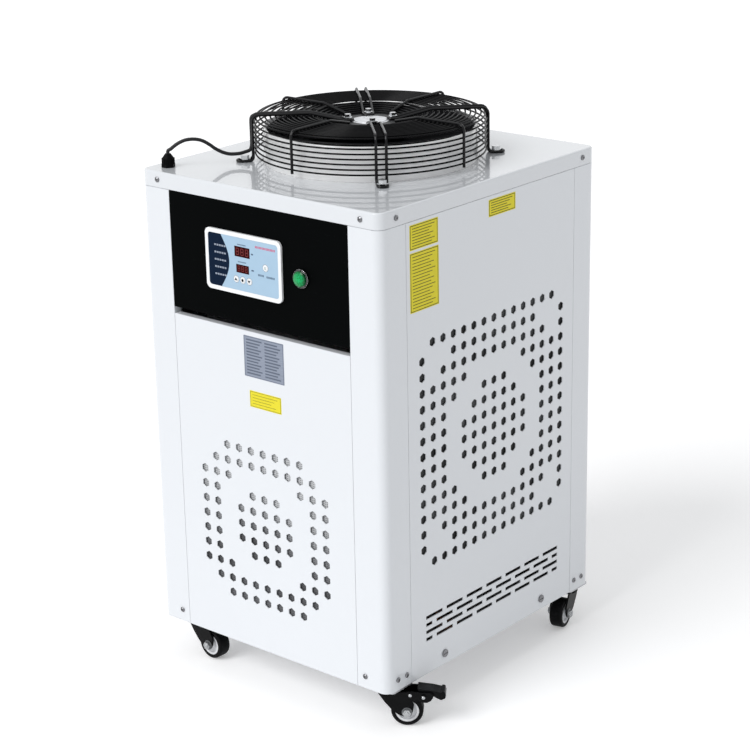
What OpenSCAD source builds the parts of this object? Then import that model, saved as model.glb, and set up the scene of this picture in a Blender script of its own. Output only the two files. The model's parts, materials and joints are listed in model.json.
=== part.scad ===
// Industrial water chiller on castors, with a guarded axial fan on top.
// Millimetres. Front is -Y, up is +Z, the origin is at the centre of the footprint on the floor.

/* [Cabinet] */
// Width of the cabinet
cab_w = 478; // [440:1:540]
// Depth of the cabinet
cab_d = 532; // [500:1:600]
// Height of the cabinet without castors and fan
cab_h = 750; // [720:1:860]
// Outer radius of the four upright corners
corner_r = 15; // [8:1:20]
// Thickness of the cabinet sheet
sheet_t = 1.5; // [1:0.1:2]
// Visible seam between neighbouring sheets
seam = 0.5; // [0.3:0.1:1]
// Running clearance between nested pieces
clear = 0.3; // [0.2:0.05:0.5]
// Front width of a corner post
post_w = 59.5; // [50:0.5:70]
// Side width of a corner post
post_d = 57; // [50:0.5:70]
// Depth of the folded edge behind each panel and post
return_d = 15; // [10:1:18]
// Height of the folded wall of the base tray
tray_h = 38; // [30:1:50]
// Thickness of the base tray
tray_t = 2.5; // [2:0.1:4]

/* [Top cover] */
// Height of the wall folded down around the cover
cover_h = 25; // [18:1:32]
// Radius of the cover's folded top edge
fold_r = 3; // [2:0.5:5]

/* [Front] */
// Height of the control fascia
fascia_h = 185; // [170:1:210]
// Height of the finger gap above the lower panel
finger_h = 11; // [8:1:16]
// Depth of the lip folded inward at the finger gap
lip_d = 12; // [8:1:14]

/* [Air vents] */
// Distance between hexagonal holes
vent_pitch = 25; // [22:0.5:28]
// Corner radius of a hexagonal hole
hex_r = 7.4; // [5:0.1:9]
// Rows and columns of the side vent
side_vent_n = 15; // [11:2:15]
// Rows and columns of the front vent
front_vent_n = 11; // [9:2:11]
// Height of the side vent's centre above the cabinet bottom
side_vent_z = 358; // [340:1:380]
// Centre of the front vent from the middle of the cabinet
front_vent_x = -3; // [-20:1:20]
// Height of the front vent's centre above the cabinet bottom
front_vent_z = 209; // [190:1:240]
// Length of a slot below the side vent
slot_l = 40.5; // [30:0.5:44]
// Height of a slot
slot_h = 5.5; // [4:0.5:7]
// Distance between the rows of slots
slot_row = 12.2; // [10:0.2:16]
// Height of the lowest row of slots
slot_z = 58; // [50:1:70]

/* [Controls] */
// Width of the controller frame
ctrl_w = 154; // [140:1:170]
// Height of the controller frame
ctrl_h = 95; // [85:1:105]
// Centre of the controller frame from the middle of the cabinet
ctrl_x = -25; // [-40:1:-10]
// Height of the controller frame's centre above the cabinet bottom
ctrl_z = 633; // [620:1:650]
// Thickness of the controller frame in front of the fascia
ctrl_t = 4; // [3:0.5:6]
// Depth of the controller body behind the fascia
ctrl_depth = 58; // [40:1:70]
// Diameter of a controller key
key_dia = 8; // [6:0.2:9]
// Travel of a controller key
key_travel = 0.8; // [0.5:0.1:1]
// Diameter of the green push button
button_dia = 24; // [20:0.5:28]
// Travel of the push button
button_travel = 3; // [2:0.5:4]
// Place of the push button across the fascia
button_x = 89; // [80:1:110]
// Height of the push button above the cabinet bottom
button_z = 631; // [610:1:650]

/* [Fan] */
// Outer radius of the collar's base
collar_r = 167; // [160:1:170]
// Height of the collar above the cover
collar_h = 53; // [40:1:56]
// Wall of the collar
collar_t = 3; // [2:0.5:4]
// Radius at the blade tips
blade_r = 152; // [140:1:154]
// Number of fan blades
blade_n = 5; // [4:1:7]
// Radius of the motor's rotor
rotor_r = 52; // [46:1:56]
// Radius of the upright rings of the guard
ring_r = 179; // [175:0.5:185]
// Wire of the guard's rings
ring_wire = 2.8; // [2:0.1:3.4]
// Wire of the guard's arms
arm_wire = 4.5; // [4:0.1:5]
// Distance between the two wires of an arm
arm_gap = 15.2; // [14.5:0.1:16]
// Height of the arms above the cover
arm_z = 73.3; // [68:0.1:80]
// Height of the arms where they are bolted to the motor
hub_z = 60.7; // [58:0.1:62]
// Distance of the foot bolts from the fan's axis
foot_bolt_r = 195.6; // [192:0.2:200]
// Distance of the motor bolts from the fan's axis
hub_bolt_r = 35; // [34:0.1:36]
// Diameter of the fan cable
cable_dia = 5.5; // [4.5:0.1:6]

/* [Castors] */
// Height of a castor under load
castor_h = 68; // [64:1:80]
// Diameter of a castor wheel
wheel_dia = 50; // [44:1:52]
// Width of a castor wheel
wheel_w = 22; // [18:1:24]
// Distance from the swivel axis to the wheel's axle
trail = 26; // [22:1:28]
// Place of the right castors across the cabinet
castor_right = 212; // [200:1:213]
// Place of the left castors across the cabinet
castor_left = 188; // [170:1:213]
// Place of the front castors
castor_front = 228; // [220:1:240]
// Place of the rear castors
castor_rear = 238; // [220:1:240]
// Travel of the brake pedals in degrees
pedal_travel = 14; // [8:1:16]

/* [Water fittings] */
// Outer diameter of the water connections
port_dia = 20.9; // [18:0.1:26]
// Bore of the water connections
port_bore = 15; // [10:0.5:16]
// Length of the water connections outside the rear panel
port_l = 22; // [16:1:30]

/* [Hidden] */
$fn = 48;
wire_fn = 36;
ring_fn = 8;

// Places shared by several pieces
half_w = cab_w / 2;
half_d = cab_d / 2;
wall_top = cab_h - cover_h - seam;
front_half = half_w - post_w - seam;
side_half = half_d - post_d - seam;
fascia_z = cab_h - cover_h - fascia_h;
lower_h = fascia_z - finger_h;
rim_z = tray_h + clear;
floor_z = tray_t + clear;
screw_proud = 2.4;
button_proud = 10;
cap_h = 16;
cap_low = 10;
neck_r = 19;
neck_out = 26;
cap_r = neck_r + 5;
rear_reach = neck_out + (cap_h - cap_low + cap_r) / sqrt(2);
leg_in = wheel_w / 2 + 1.6;
pedal_x = 51.4;
pedal_l = 34.3;
pedal_reach = pedal_x + pedal_l;
pedal_half = leg_in - clear;
front_right_turn = 36;
rear_left_turn = 200;
right_reach = castor_right + pedal_reach * cos(front_right_turn) + pedal_half * sin(front_right_turn);
left_reach = castor_left - pedal_reach * cos(rear_left_turn) - pedal_half * sin(rear_left_turn);
cab_x = (left_reach - right_reach) / 2;
cab_y = (button_proud - rear_reach) / 2;
castors = [
    [castor_right, -castor_front, front_right_turn],
    [-castor_left, -castor_front, -2],
    [castor_right, castor_rear, -76],
    [-castor_left, castor_rear, rear_left_turn]
];

function unit(v) = v / norm(v);
function cells(n) = [for (j = [0 : n - 1]) for (i = [0 : n - 1]) [i - (n - 1) / 2, j - (n - 1) / 2]];
function shift(pts, by) = [for (p = pts) p + by];
function hexagon() = [for (k = [0 : 5]) hex_r * [sin(60 * k), cos(60 * k)]];
function box_path(w, h) = [[-w, -h], [w, -h], [w, h], [-w, h]] / 2;

// A side vent is a square frame of holes around a disc of holes with a ring left plain
function side_hole(c, m) =
    let (far = max(abs(c[0]), abs(c[1])), d = norm(c))
    far == m ? abs(c[0]) + abs(c[1]) < 2 * m : d < m + 0.5 && (d < 3.4 || d > 4.7);

// A front vent is a disc of holes with a ring left plain
function front_hole(c, m) = norm(c) < m + 1.1 && (norm(c) < 2.5 || norm(c) > 3.9);

// A flat sheet with openings, drawn as one outline and its inner paths
module pierced(outline, holes) {
    counts = [for (h = concat([outline], holes)) len(h)];
    starts = [for (i = 0, s = 0; i < len(counts); s = s + counts[i], i = i + 1) s];
    polygon(
        points = [for (h = concat([outline], holes)) for (p = h) p],
        paths = [for (i = [0 : len(counts) - 1]) [for (k = [0 : counts[i] - 1]) starts[i] + k]]
    );
}

// Frames: x across and y up on the outside of each face, z outward
module cab() translate([cab_x, cab_y, castor_h]) children();
module on_front(x = 0, z = 0) translate([x, -half_d, z]) rotate([90, 0, 0]) children();
module on_rear(x = 0, z = 0) translate([-x, half_d, z]) rotate([90, 0, 180]) children();
module on_right(y = 0, z = 0) translate([half_w, y, z]) rotate([90, 0, 90]) children();
module on_left(y = 0, z = 0) mirror([1, 0, 0]) on_right(y, z) children();
module on_top() translate([0, 0, cab_h]) children();
module both_sides() {
    children();
    mirror([1, 0, 0]) children();
}
module four_corners(x, y) for (i = [-1, 1]) for (j = [-1, 1]) translate([i * x, j * y, 0]) children();

module rounded_rect(w, d, r) {
    square([w, d - 2 * r], center = true);
    square([w - 2 * r, d], center = true);
    four_corners(w / 2 - r, d / 2 - r) circle(r);
}
module tube(r_out, r_in, h) difference() {
    cylinder(r = r_out, h = h);
    translate([0, 0, -1]) cylinder(r = r_in, h = h + 2);
}
module ring(r, wire, z) translate([0, 0, z]) rotate_extrude($fn = 96)
    translate([r, 0]) circle(wire / 2, $fn = ring_fn);

// Points of a path through corners, each rounded by its own bend radius
function turn_angle(a, b) = acos(max(-1, min(1, unit(a) * unit(b))));
function bend_points(before, p, after, r) = let (
        u = unit(p - before),
        v = unit(after - p),
        angle = turn_angle(u, v),
        steps = ceil(angle / 24),
        inward = unit(cross(cross(u, v), u)),
        start = p - u * r * tan(angle / 2)
    ) [for (k = [0 : steps]) start + r * (sin(angle * k / steps) * u + (1 - cos(angle * k / steps)) * inward)];
function bent_path(pts, bends) = [
    pts[0],
    for (i = [1 : 1 : len(pts) - 2]) each bend_points(pts[i - 1], pts[i], pts[i + 1], bends[i]),
    pts[len(pts) - 1]
];

// A round tube or wire swept along a route
module swept_tube(route, d, sides = 8) {
    n = len(route);
    leave = [for (i = [0 : n - 1]) unit(route[min(i + 1, n - 1)] - route[min(i, n - 2)])];
    way = [for (i = [0 : n - 1]) unit(leave[i] + leave[max(i - 1, 0)])];
    first = unit(cross(way[0], abs(way[0][2]) < 0.8 ? [0, 0, 1] : [1, 0, 0]));
    side = [for (i = 0, s = first; i < n; i = i + 1, s = i < n ? unit(s - way[i] * (s * way[i])) : s) s];
    pts = [for (i = [0 : n - 1]) let (v = cross(way[i], side[i])) for (k = [0 : sides - 1])
        route[i] + d / 2 * (cos(360 * k / sides) * side[i] + sin(360 * k / sides) * v)];
    skin = [for (i = [0 : n - 2]) for (k = [0 : sides - 1])
        let (a = i * sides + k, b = i * sides + (k + 1) % sides)
        each [[a, b + sides, b], [a, a + sides, b + sides]]];
    ends = [[for (k = [0 : sides - 1]) k], [for (k = [sides - 1 : -1 : 0]) (n - 1) * sides + k]];
    polyhedron(points = pts, faces = concat(skin, ends));
}

// A slab with round upright corners and a rounded top edge
module fold_slab(w, d, h, r, f) {
    flat = r - f;
    linear_extrude(h - f) rounded_rect(w, d, r);
    linear_extrude(h) rounded_rect(w - 2 * f, d - 2 * f, flat);
    for (s = [-1, 1]) {
        translate([s * (w / 2 - f), 0, h - f]) rotate([90, 0, 0]) cylinder(r = f, h = d - 2 * r, center = true);
        translate([0, s * (d / 2 - f), h - f]) rotate([0, 90, 0]) cylinder(r = f, h = w - 2 * r, center = true);
    }
    four_corners(w / 2 - r, d / 2 - r) translate([0, 0, h - f]) rotate_extrude() translate([flat, 0]) circle(f);
}

// The folded edge behind a panel, from y_low to y_high
module returns(w, y_low, y_high) translate([0, 0, -return_d]) linear_extrude(return_d) difference() {
    translate([-w / 2, y_low]) square([w, y_high - y_low]);
    translate([-w / 2 + sheet_t, y_low + sheet_t]) square([w - 2 * sheet_t, y_high - y_low - 2 * sheet_t]);
}

// Cabinet
module base_tray() color("silver") cab() {
    in_w = cab_w - 2 * sheet_t - 2 * clear;
    in_d = cab_d - 2 * sheet_t - 2 * clear;
    in_r = corner_r - sheet_t - clear;
    difference() {
        linear_extrude(tray_h) rounded_rect(in_w, in_d, in_r);
        translate([0, 0, tray_t]) linear_extrude(tray_h)
            rounded_rect(in_w - 2 * tray_t, in_d - 2 * tray_t, in_r - tray_t);
        for (c = castors) translate([c[0], c[1], -1]) four_corners(castor_bolt, castor_bolt)
            cylinder(r = castor_bolt_r + 0.05, h = tray_t + 2);
        all_post_screws() translate([0, 0, -8]) cylinder(r = screw_r + 0.05, h = 10);
        both_sides() for (s = [-1, 1]) on_right(s * lock_y, lock_z) translate([0, 0, -8])
            cylinder(r = lock_r + 0.1, h = 10);
    }
}

module post() difference() {
    tongue_z = wall_top - 3 * cover_h;
    union() {
        linear_extrude(wall_top) intersection() {
            difference() {
                rounded_rect(cab_w, cab_d, corner_r);
                rounded_rect(cab_w - 2 * sheet_t, cab_d - 2 * sheet_t, corner_r - sheet_t);
            }
            translate([half_w - post_w, -half_d]) square([post_w, post_d]);
        }
        translate([half_w - post_w, -half_d + 0.1, rim_z]) cube([sheet_t, return_d, wall_top - rim_z]);
        translate([half_w - return_d, -half_d + post_d - sheet_t, rim_z])
            cube([return_d - 0.1, sheet_t, wall_top - rim_z]);
        translate([0, 0, tongue_z]) linear_extrude(wall_top - tongue_z + cover_h - sheet_t - clear) intersection() {
            difference() {
                rounded_rect(cab_w - 2 * sheet_t, cab_d - 2 * sheet_t, corner_r - sheet_t);
                rounded_rect(cab_w - 4 * sheet_t, cab_d - 4 * sheet_t, corner_r - 2 * sheet_t);
            }
            translate([half_w - post_w + sheet_t + clear, -half_d])
                square([post_w, post_d - 2 * sheet_t - clear]);
        }
    }
    post_screws() translate([0, 0, -5]) cylinder(r = screw_r + 0.05, h = 10);
    cover_screws() translate([0, 0, -8]) cylinder(r = screw_r + 0.05, h = 10);
}
front_screw_in = 44;
front_screw_z = 20;
side_screws_in = [24.5, 45.3];
side_screw_z = 18;
cover_screw_in = 36;
module post_screws() {
    translate([half_w - front_screw_in, -half_d, front_screw_z]) rotate([90, 0, 0]) children();
    for (y = side_screws_in) translate([half_w, -half_d + y, side_screw_z]) rotate([0, 90, 0]) children();
}
module all_post_screws() for (m = [0, 1]) mirror([0, m, 0]) both_sides() post_screws() children();
module cover_screws() for (i = [-1, 1]) for (j = [-1, 1]) {
    translate([i * (half_w - cover_screw_in), j * half_d, cab_h - cover_h / 2]) rotate([-90 * j, 0, 0]) children();
    translate([i * half_w, j * (half_d - cover_screw_in), cab_h - cover_h / 2]) rotate([0, 90 * i, 0]) children();
}
module front_right_post() color("white") cab() post();
module front_left_post() color("white") cab() mirror([1, 0, 0]) post();
module rear_posts() color("white") cab() mirror([0, 1, 0]) both_sides() post();

module top_cover() color("white") cab() translate([0, 0, cab_h - cover_h]) difference() {
    fold_slab(cab_w, cab_d, cover_h, corner_r, fold_r);
    translate([0, 0, -1]) linear_extrude(cover_h + 1 - sheet_t)
        rounded_rect(cab_w - 2 * sheet_t, cab_d - 2 * sheet_t, corner_r - sheet_t);
    cylinder(r = collar_r + clear, h = cover_h + 1, $fn = 96);
    for (k = [0 : 3]) rotate(45 + 90 * k) translate([foot_bolt_r, 0, 0]) cylinder(r = foot_bolt + 0.1, h = cover_h + 1);
    translate([gland_x, gland_y, 0]) cylinder(r = gland_r * 0.7, h = cover_h + 1);
    translate([0, 0, cover_h - cab_h]) cover_screws() translate([0, 0, -5]) cylinder(r = screw_r + 0.05, h = 10);
}

module control_fascia() color([0.04, 0.04, 0.05]) cab() on_front(0, fascia_z) {
    w = 2 * front_half;
    h = fascia_h - seam;
    difference() {
        union() {
            translate([-w / 2, 0, -sheet_t]) cube([w, h, sheet_t]);
            returns(w, 0, h);
        }
        translate([ctrl_x, ctrl_z - fascia_z, -5])
            linear_extrude(10) square([ctrl_w - 2 * ctrl_lip, ctrl_h - 2 * ctrl_lip], center = true);
        translate([button_x, button_z - fascia_z, -5]) cylinder(r = barrel_r + clear / 2, h = 10);
    }
}

module lower_front_panel() color("white") cab() on_front() {
    w = 2 * front_half;
    m = (front_vent_n - 1) / 2;
    holes = [for (c = cells(front_vent_n)) if (front_hole(c, m))
        shift(hexagon(), vent_pitch * c + [front_vent_x, front_vent_z])];
    translate([0, 0, -sheet_t]) linear_extrude(sheet_t)
        pierced(shift(box_path(w, lower_h), [0, lower_h / 2]), holes);
    translate([-w / 2, lower_h - sheet_t, -lip_d]) cube([w, sheet_t, lip_d]);
    for (s = [-1, 1]) translate([s * (w - sheet_t) / 2 - sheet_t / 2, rim_z, -return_d])
        cube([sheet_t, lower_h - rim_z - lip_d, return_d]);
}

slot_inset = 3;
module vented_side() {
    w = 2 * side_half;
    m = (side_vent_n - 1) / 2;
    pitch = (2 * (m * vent_pitch - slot_inset) - slot_l) / 6;
    hexes = [for (c = cells(side_vent_n)) if (side_hole(c, m))
        shift(hexagon(), vent_pitch * c + [0, side_vent_z])];
    full = [for (row = [1, 3]) for (k = [-3 : 3])
        shift(box_path(slot_l, slot_h), [k * pitch, slot_z + row * slot_row])];
    staggered = [for (row = [0, 2]) for (k = [-2.5 : 2.5])
        shift(box_path(slot_l, slot_h), [k * pitch, slot_z + row * slot_row])];
    end_l = (pitch + slot_l) / 2 - (pitch - slot_l) - slot_l / 2;
    ends = [for (row = [0, 2]) for (s = [-1, 1])
        shift(box_path(end_l, slot_h), [s * (3 * pitch + slot_l / 2 - end_l / 2), slot_z + row * slot_row])];
    difference() {
        translate([0, 0, -sheet_t]) linear_extrude(sheet_t)
            pierced(shift(box_path(w, wall_top), [0, wall_top / 2]), concat(hexes, full, staggered, ends));
        for (s = [-1, 1]) translate([s * lock_y, lock_z, -5]) cylinder(r = lock_r + 0.1, h = 10);
    }
    returns(w, rim_z, wall_top);
}
module right_side_panel() color("gainsboro") cab() on_right() vented_side();
module left_side_panel() color("gainsboro") cab() on_left() vented_side();

module rear_panel() color("white") cab() on_rear() {
    w = 2 * front_half;
    difference() {
        union() {
            translate([-w / 2, 0, -sheet_t]) cube([w, wall_top, sheet_t]);
            returns(w, rim_z, wall_top);
        }
        for (p = [inlet_place, outlet_place]) translate([p[0], p[1], -20]) cylinder(r = port_dia / 2 + 0.15, h = 40);
        translate([drain_place[0], drain_place[1], -20]) cylinder(r = drain_r + 0.15, h = 40);
        translate([filler_x, filler_z, 0]) rotate([-45, 0, 0])
            translate([0, 0, -40]) cylinder(r = neck_r + 0.4, h = 80);
        translate([power_place[0], power_place[1], -20]) linear_extrude(40) square([48, 28], center = true);
        translate([gauge_place[0], gauge_place[1], -20]) linear_extrude(40) square([gauge_w - 8, gauge_h - 8], center = true);
    }
}

// Filters
filter_t = 4;
filter_rim = 8;
module filter(w) {
    translate([0, 0, -filter_t]) linear_extrude(filter_t) difference() {
        square(w, center = true);
        square(w - 2 * filter_rim, center = true);
    }
    translate([0, 0, -filter_t / 2]) cube([w - filter_rim, w - filter_rim, 0.8], center = true);
}
module dust_filters() color("lightgray") cab() {
    front_w = (front_vent_n + 1) * vent_pitch;
    side_w = (side_vent_n + 0.4) * vent_pitch;
    on_front(front_vent_x, front_vent_z) translate([0, 0, -sheet_t - clear]) filter(front_w);
    both_sides() on_right(0, side_vent_z) translate([0, 0, -sheet_t - clear]) filter(side_w);
}

// Controls
ctrl_lip = 6;
face_w = ctrl_w - 12;
face_h = ctrl_h - 13;
face_t = 0.6;
face_z = ctrl_t - 1;
key_gap = 0.15;
barrel_r = 10.8;
barrel_l = 30;
contact_l = 32;
bezel_r = button_dia / 2 + 2.3;
bezel_t = 3.4;
stem_r = 5;
stem_l = 12;
dome_h = 3.4;
key_row_z = ctrl_z - 24.5;
key_places = [[ctrl_x - 15, key_row_z], [ctrl_x - 1.6, key_row_z], [ctrl_x + 11.8, key_row_z]];
power_key_place = [ctrl_x + 45.4, ctrl_z + 2.3];
windows = [[ctrl_x - 1.4, ctrl_z + 19.2, 31, 16], [ctrl_x - 1.4, ctrl_z - 7, 26, 13]];
module at_keys() for (p = concat(key_places, [power_key_place])) translate([p[0], p[1], 0]) children();

module controller_housing() color("white") cab() on_front() difference() {
    union() {
        translate([ctrl_x, ctrl_z, clear]) linear_extrude(ctrl_t - clear) rounded_rect(ctrl_w, ctrl_h, 9);
        translate([ctrl_x, ctrl_z, -ctrl_depth]) linear_extrude(ctrl_depth + 1)
            rounded_rect(ctrl_w - 2 * ctrl_lip - 1, ctrl_h - 2 * ctrl_lip - 1, 3);
    }
    translate([ctrl_x, ctrl_z, face_z]) linear_extrude(5) rounded_rect(face_w, face_h, 5);
    at_keys() translate([0, 0, face_z - 4]) cylinder(r = key_dia / 2 + key_gap, h = 10);
    for (v = windows) translate([v[0], v[1], face_z - 1.5]) linear_extrude(5) square([v[2], v[3]], center = true);
}
module controller_faceplate() color("lightsteelblue") cab() on_front() difference() {
    translate([ctrl_x, ctrl_z, face_z + 0.05]) linear_extrude(face_t)
        rounded_rect(face_w - 0.3, face_h - 0.3, 5);
    at_keys() cylinder(r = key_dia / 2 + key_gap, h = 10);
    for (v = windows) translate([v[0], v[1], 0]) linear_extrude(10) square([v[2], v[3]], center = true);
}
module controller_display() color([0.25, 0.02, 0.03]) cab() on_front()
    for (v = windows) translate([v[0], v[1], face_z - 1.45]) linear_extrude(face_t + 1.5)
        square([v[2] - 0.3, v[3] - 0.3], center = true);
module key_cap(p) color("white") cab() on_front(p[0], p[1]) {
    translate([0, 0, face_z - 3]) cylinder(d = key_dia, h = face_t + 3.6);
    translate([0, 0, face_z + face_t + 0.6]) cylinder(d1 = key_dia, d2 = key_dia - 1, h = 0.5);
}
module key_left() key_cap(key_places[0]);
module key_middle() key_cap(key_places[1]);
module key_right() key_cap(key_places[2]);
module key_power() key_cap(power_key_place);

module button_body() color("black") cab() on_front(button_x, button_z) {
    difference() {
        union() {
            translate([0, 0, clear]) cylinder(r = bezel_r, h = bezel_t - clear);
            translate([0, 0, -barrel_l]) cylinder(r = barrel_r, h = barrel_l + 1);
        }
        translate([0, 0, 1]) cylinder(d = button_dia + 0.6, h = 10);
        translate([0, 0, -stem_l]) cylinder(r = stem_r + 0.2, h = stem_l + 8);
    }
    translate([0, 0, -8]) tube(bezel_r, barrel_r, 6 - clear);
    translate([-15, -20, -barrel_l - contact_l]) cube([30, 40, contact_l]);
}
module power_button() color("limegreen") cab() on_front(button_x, button_z) {
    base = 1 + button_travel + clear;
    sphere_r = (pow(button_dia / 2, 2) + dome_h * dome_h) / (2 * dome_h);
    translate([0, 0, base]) cylinder(d = button_dia, h = button_proud - dome_h - base);
    translate([0, 0, button_travel + clear - stem_l]) cylinder(r = stem_r, h = base + stem_l - button_travel);
    intersection() {
        translate([0, 0, button_proud - sphere_r]) sphere(sphere_r, $fn = 96);
        translate([0, 0, button_proud - dome_h - 0.01]) cylinder(d = button_dia, h = dome_h + 1);
    }
}

// Fan
lip_r = collar_r - 1;
stator_top = hub_z - arm_wire / 2 - 0.05;
weld = 0.12;
leg_r = ring_r + (ring_wire + arm_wire) / 2 + weld;
under = (ring_wire + arm_wire) / 2 + weld;
kink_r = 94;
slope_r = 42;
shoulder = 10;
flat_pitch = 8.1;
slope_pitch = 6.9;
side_pitch = 7.85;
side_z = 13.3;
foot_z = arm_wire / 2 + 0.05;
foot_reach = 210 - arm_wire / 2;
foot_bolt = 3.9;
hub_bolt = 3;
function arm_height(r) = r > kink_r ? arm_z : hub_z + (arm_z - hub_z) * (r - slope_r) / (kink_r - slope_r);

module fan_shroud() color("white") cab() on_top() rotate_extrude($fn = 96) polygon([
    [collar_r + 14, -sheet_t - clear - collar_t], [collar_r + 14, -sheet_t - clear],
    [collar_r, -sheet_t - clear], [collar_r, 0], [lip_r, collar_h - 3], [lip_r - 0.8, collar_h - 0.8],
    [lip_r - 2.4, collar_h], [lip_r - 4, collar_h - 0.8], [lip_r - collar_t - 3, collar_h - 4],
    [collar_r - collar_t - 4, 20], [collar_r - collar_t - 4, 8], [collar_r - collar_t, -6],
    [collar_r + 4, -sheet_t - clear - collar_t]
]);

module fan_guard() color([0.08, 0.08, 0.08]) cab() on_top() {
    for (k = [0 : 6]) ring(ring_r, ring_wire, side_z + k * side_pitch);
    ring(leg_r - shoulder + (shoulder - under) * cos(45), ring_wire, arm_z - shoulder + (shoulder - under) * sin(45));
    for (k = [0 : 9]) ring(ring_r - 8 - k * flat_pitch, ring_wire, arm_z - under);
    for (k = [0 : 6]) {
        r = kink_r - 6 - k * slope_pitch;
        ring(r, ring_wire, arm_height(r) - under / cos(14));
    }
}
module guard_arms() color([0.08, 0.08, 0.08]) cab() on_top() for (k = [0 : 3]) {
    rotate(45 + 90 * k) foot_arm();
    rotate(90 * k) plain_arm();
}
module foot_arm() {
    t = arm_gap / 2;
    loop = t - 0.6;
    side = [
        [hub_bolt_r - t, 0, hub_z], [slope_r, 0, hub_z], [kink_r, 0, arm_z],
        [leg_r, 0, arm_z], [leg_r, 0, foot_z], [foot_reach, 0, foot_z]
    ];
    radii = [loop, 12, 12, shoulder, 6, loop];
    there = shift(side, [0, t, 0]);
    back = [for (i = [5 : -1 : 0]) side[i] - [0, t, 0]];
    butt = [hub_bolt_r - t, weld, hub_z];
    swept_tube(bent_path(
        concat([butt], there, back, [[butt[0], -weld, hub_z]]),
        concat([0], radii, [for (i = [5 : -1 : 0]) radii[i]], [0])
    ), arm_wire);
}
module plain_arm() swept_tube(bent_path(
    [[slope_r + 8, 0, arm_height(slope_r + 8)], [kink_r, 0, arm_z], [leg_r, 0, arm_z], [leg_r, 0, side_z - 5]],
    [0, 12, shoulder, 0]
), arm_wire);

module motor_stator() color("dimgray") cab() on_top() difference() {
    union() {
        translate([0, 0, stator_top - 4]) cylinder(r = 44, h = 4);
        translate([0, 0, stator_top - 9]) cylinder(r = 40, h = 5.5);
        translate([0, 0, -6]) cylinder(r = rotor_r - 7, h = stator_top - 2);
        rotate(-135) translate([41.9, -4.4, stator_top - 1]) cube([2.1, 8.8, 8]);
    }
    translate([0, 0, -7]) cylinder(r = shaft_r + 0.05, h = stator_top + 1);
    for (k = [0 : 3]) rotate(45 + 90 * k) translate([hub_bolt_r, 0, stator_top - 12]) cylinder(r = hub_bolt + 0.1, h = 20);
}
shaft_r = 6;
rotor_low = -28;
module motor_rotor() color("black") cab() on_top() {
    difference() {
        translate([0, 0, rotor_low]) union() {
            cylinder(r1 = rotor_r - 3, r2 = rotor_r, h = 3);
            translate([0, 0, 3]) cylinder(r = rotor_r, h = 43 - rotor_low);
        }
        translate([0, 0, rotor_low + 8]) cylinder(r = rotor_r - 4, h = 100);
    }
    translate([0, 0, rotor_low + 7]) cylinder(r = shaft_r, h = stator_top - rotor_low - 20);
}

// Swept blades: a thin cambered section carried outward and turned forward with the radius
blade_root = rotor_r + 4;
blade_steps = 10;
blade_pts = 8;
function blade_chord(s) = 62 + 34 * s;
function blade_pitch(s) = 36 - 14 * s;
function blade_sweep(s) = 34 * s * s;
function blade_side(s, half, up) = let (
        r = blade_root - 2 + s * (blade_r - blade_root + 2),
        along = (half - 0.5) * blade_chord(s),
        camber = 5 * (1 - pow(2 * half - 1, 2)),
        thick = up * (0.9 + 0.9 * (1 - pow(2 * half - 1, 2))) * (1 - 0.4 * s) / 2,
        flat = along * cos(blade_pitch(s)) - (camber + thick) * sin(blade_pitch(s)),
        high = along * sin(blade_pitch(s)) + (camber + thick) * cos(blade_pitch(s)),
        turn = blade_sweep(s) + flat / r * 180 / PI
    ) [r * cos(turn), r * sin(turn), 18 + high];
module blade() {
    loop = 2 * blade_pts;
    pts = [for (i = [0 : blade_steps]) for (k = [0 : loop - 1])
        k < blade_pts ? blade_side(i / blade_steps, k / (blade_pts - 1), 1)
            : blade_side(i / blade_steps, (loop - 1 - k) / (blade_pts - 1), -1)];
    skin = [for (i = [0 : blade_steps - 1]) for (k = [0 : loop - 1]) let (a = i * loop + k, b = i * loop + (k + 1) % loop)
        each [[a, b + loop, b], [a, a + loop, b + loop]]];
    root = [for (k = [0 : blade_pts - 2]) each [[k, k + 1, loop - 2 - k], [k, loop - 2 - k, loop - 1 - k]]];
    tip = [for (f = root) [f[0], f[2], f[1]] + [1, 1, 1] * blade_steps * loop];
    polyhedron(points = pts, faces = [for (f = concat(skin, root, tip)) [f[2], f[1], f[0]]]);
}
module fan_blades() color([0.1, 0.1, 0.1]) cab() on_top() {
    translate([0, 0, -4]) tube(blade_root, rotor_r + 0.05, 44);
    for (k = [0 : blade_n - 1]) rotate(360 / blade_n * k) blade();
}

module hex_bolt(r, washer, head, down) {
    cylinder(r = washer, h = 1.4);
    translate([0, 0, 1.35]) cylinder(r = head, h = 4.5, $fn = 6);
    translate([0, 0, -down]) cylinder(r = r, h = down + 1);
}
module guard_bolts() color("silver") cab() on_top() for (k = [0 : 3]) rotate(45 + 90 * k) {
    translate([foot_bolt_r, 0, foot_z + arm_wire / 2 + 0.05]) hex_bolt(foot_bolt, 8.5, 6.6, 12);
    translate([hub_bolt_r, 0, hub_z + arm_wire / 2 + 0.05]) hex_bolt(hub_bolt, 6.5, 5, 12);
}

gland_x = -210;
gland_y = -234;
gland_r = 10;
gland_h = 21;
module cable_gland() color("black") cab() on_top() translate([gland_x, gland_y, 0]) difference() {
    union() {
        translate([0, 0, clear]) cylinder(r = gland_r + 1, h = 5, $fn = 6);
        translate([0, 0, 5]) cylinder(r = gland_r - 0.6, h = 9);
        for (k = [0 : 11]) rotate(30 * k) translate([gland_r - 1, -1.2, 5]) cube([1.2, 2.4, 9]);
        translate([0, 0, 14]) cylinder(r1 = gland_r - 0.6, r2 = cable_dia / 2 + 1.6, h = gland_h - 14);
        translate([0, 0, -14]) cylinder(r = gland_r * 0.7 - 0.2, h = 15);
        translate([0, 0, -sheet_t - clear - 5]) cylinder(r = gland_r + 1, h = 5, $fn = 6);
    }
    translate([0, 0, -20]) cylinder(d = cable_dia, h = gland_h + 15);
}

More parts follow.
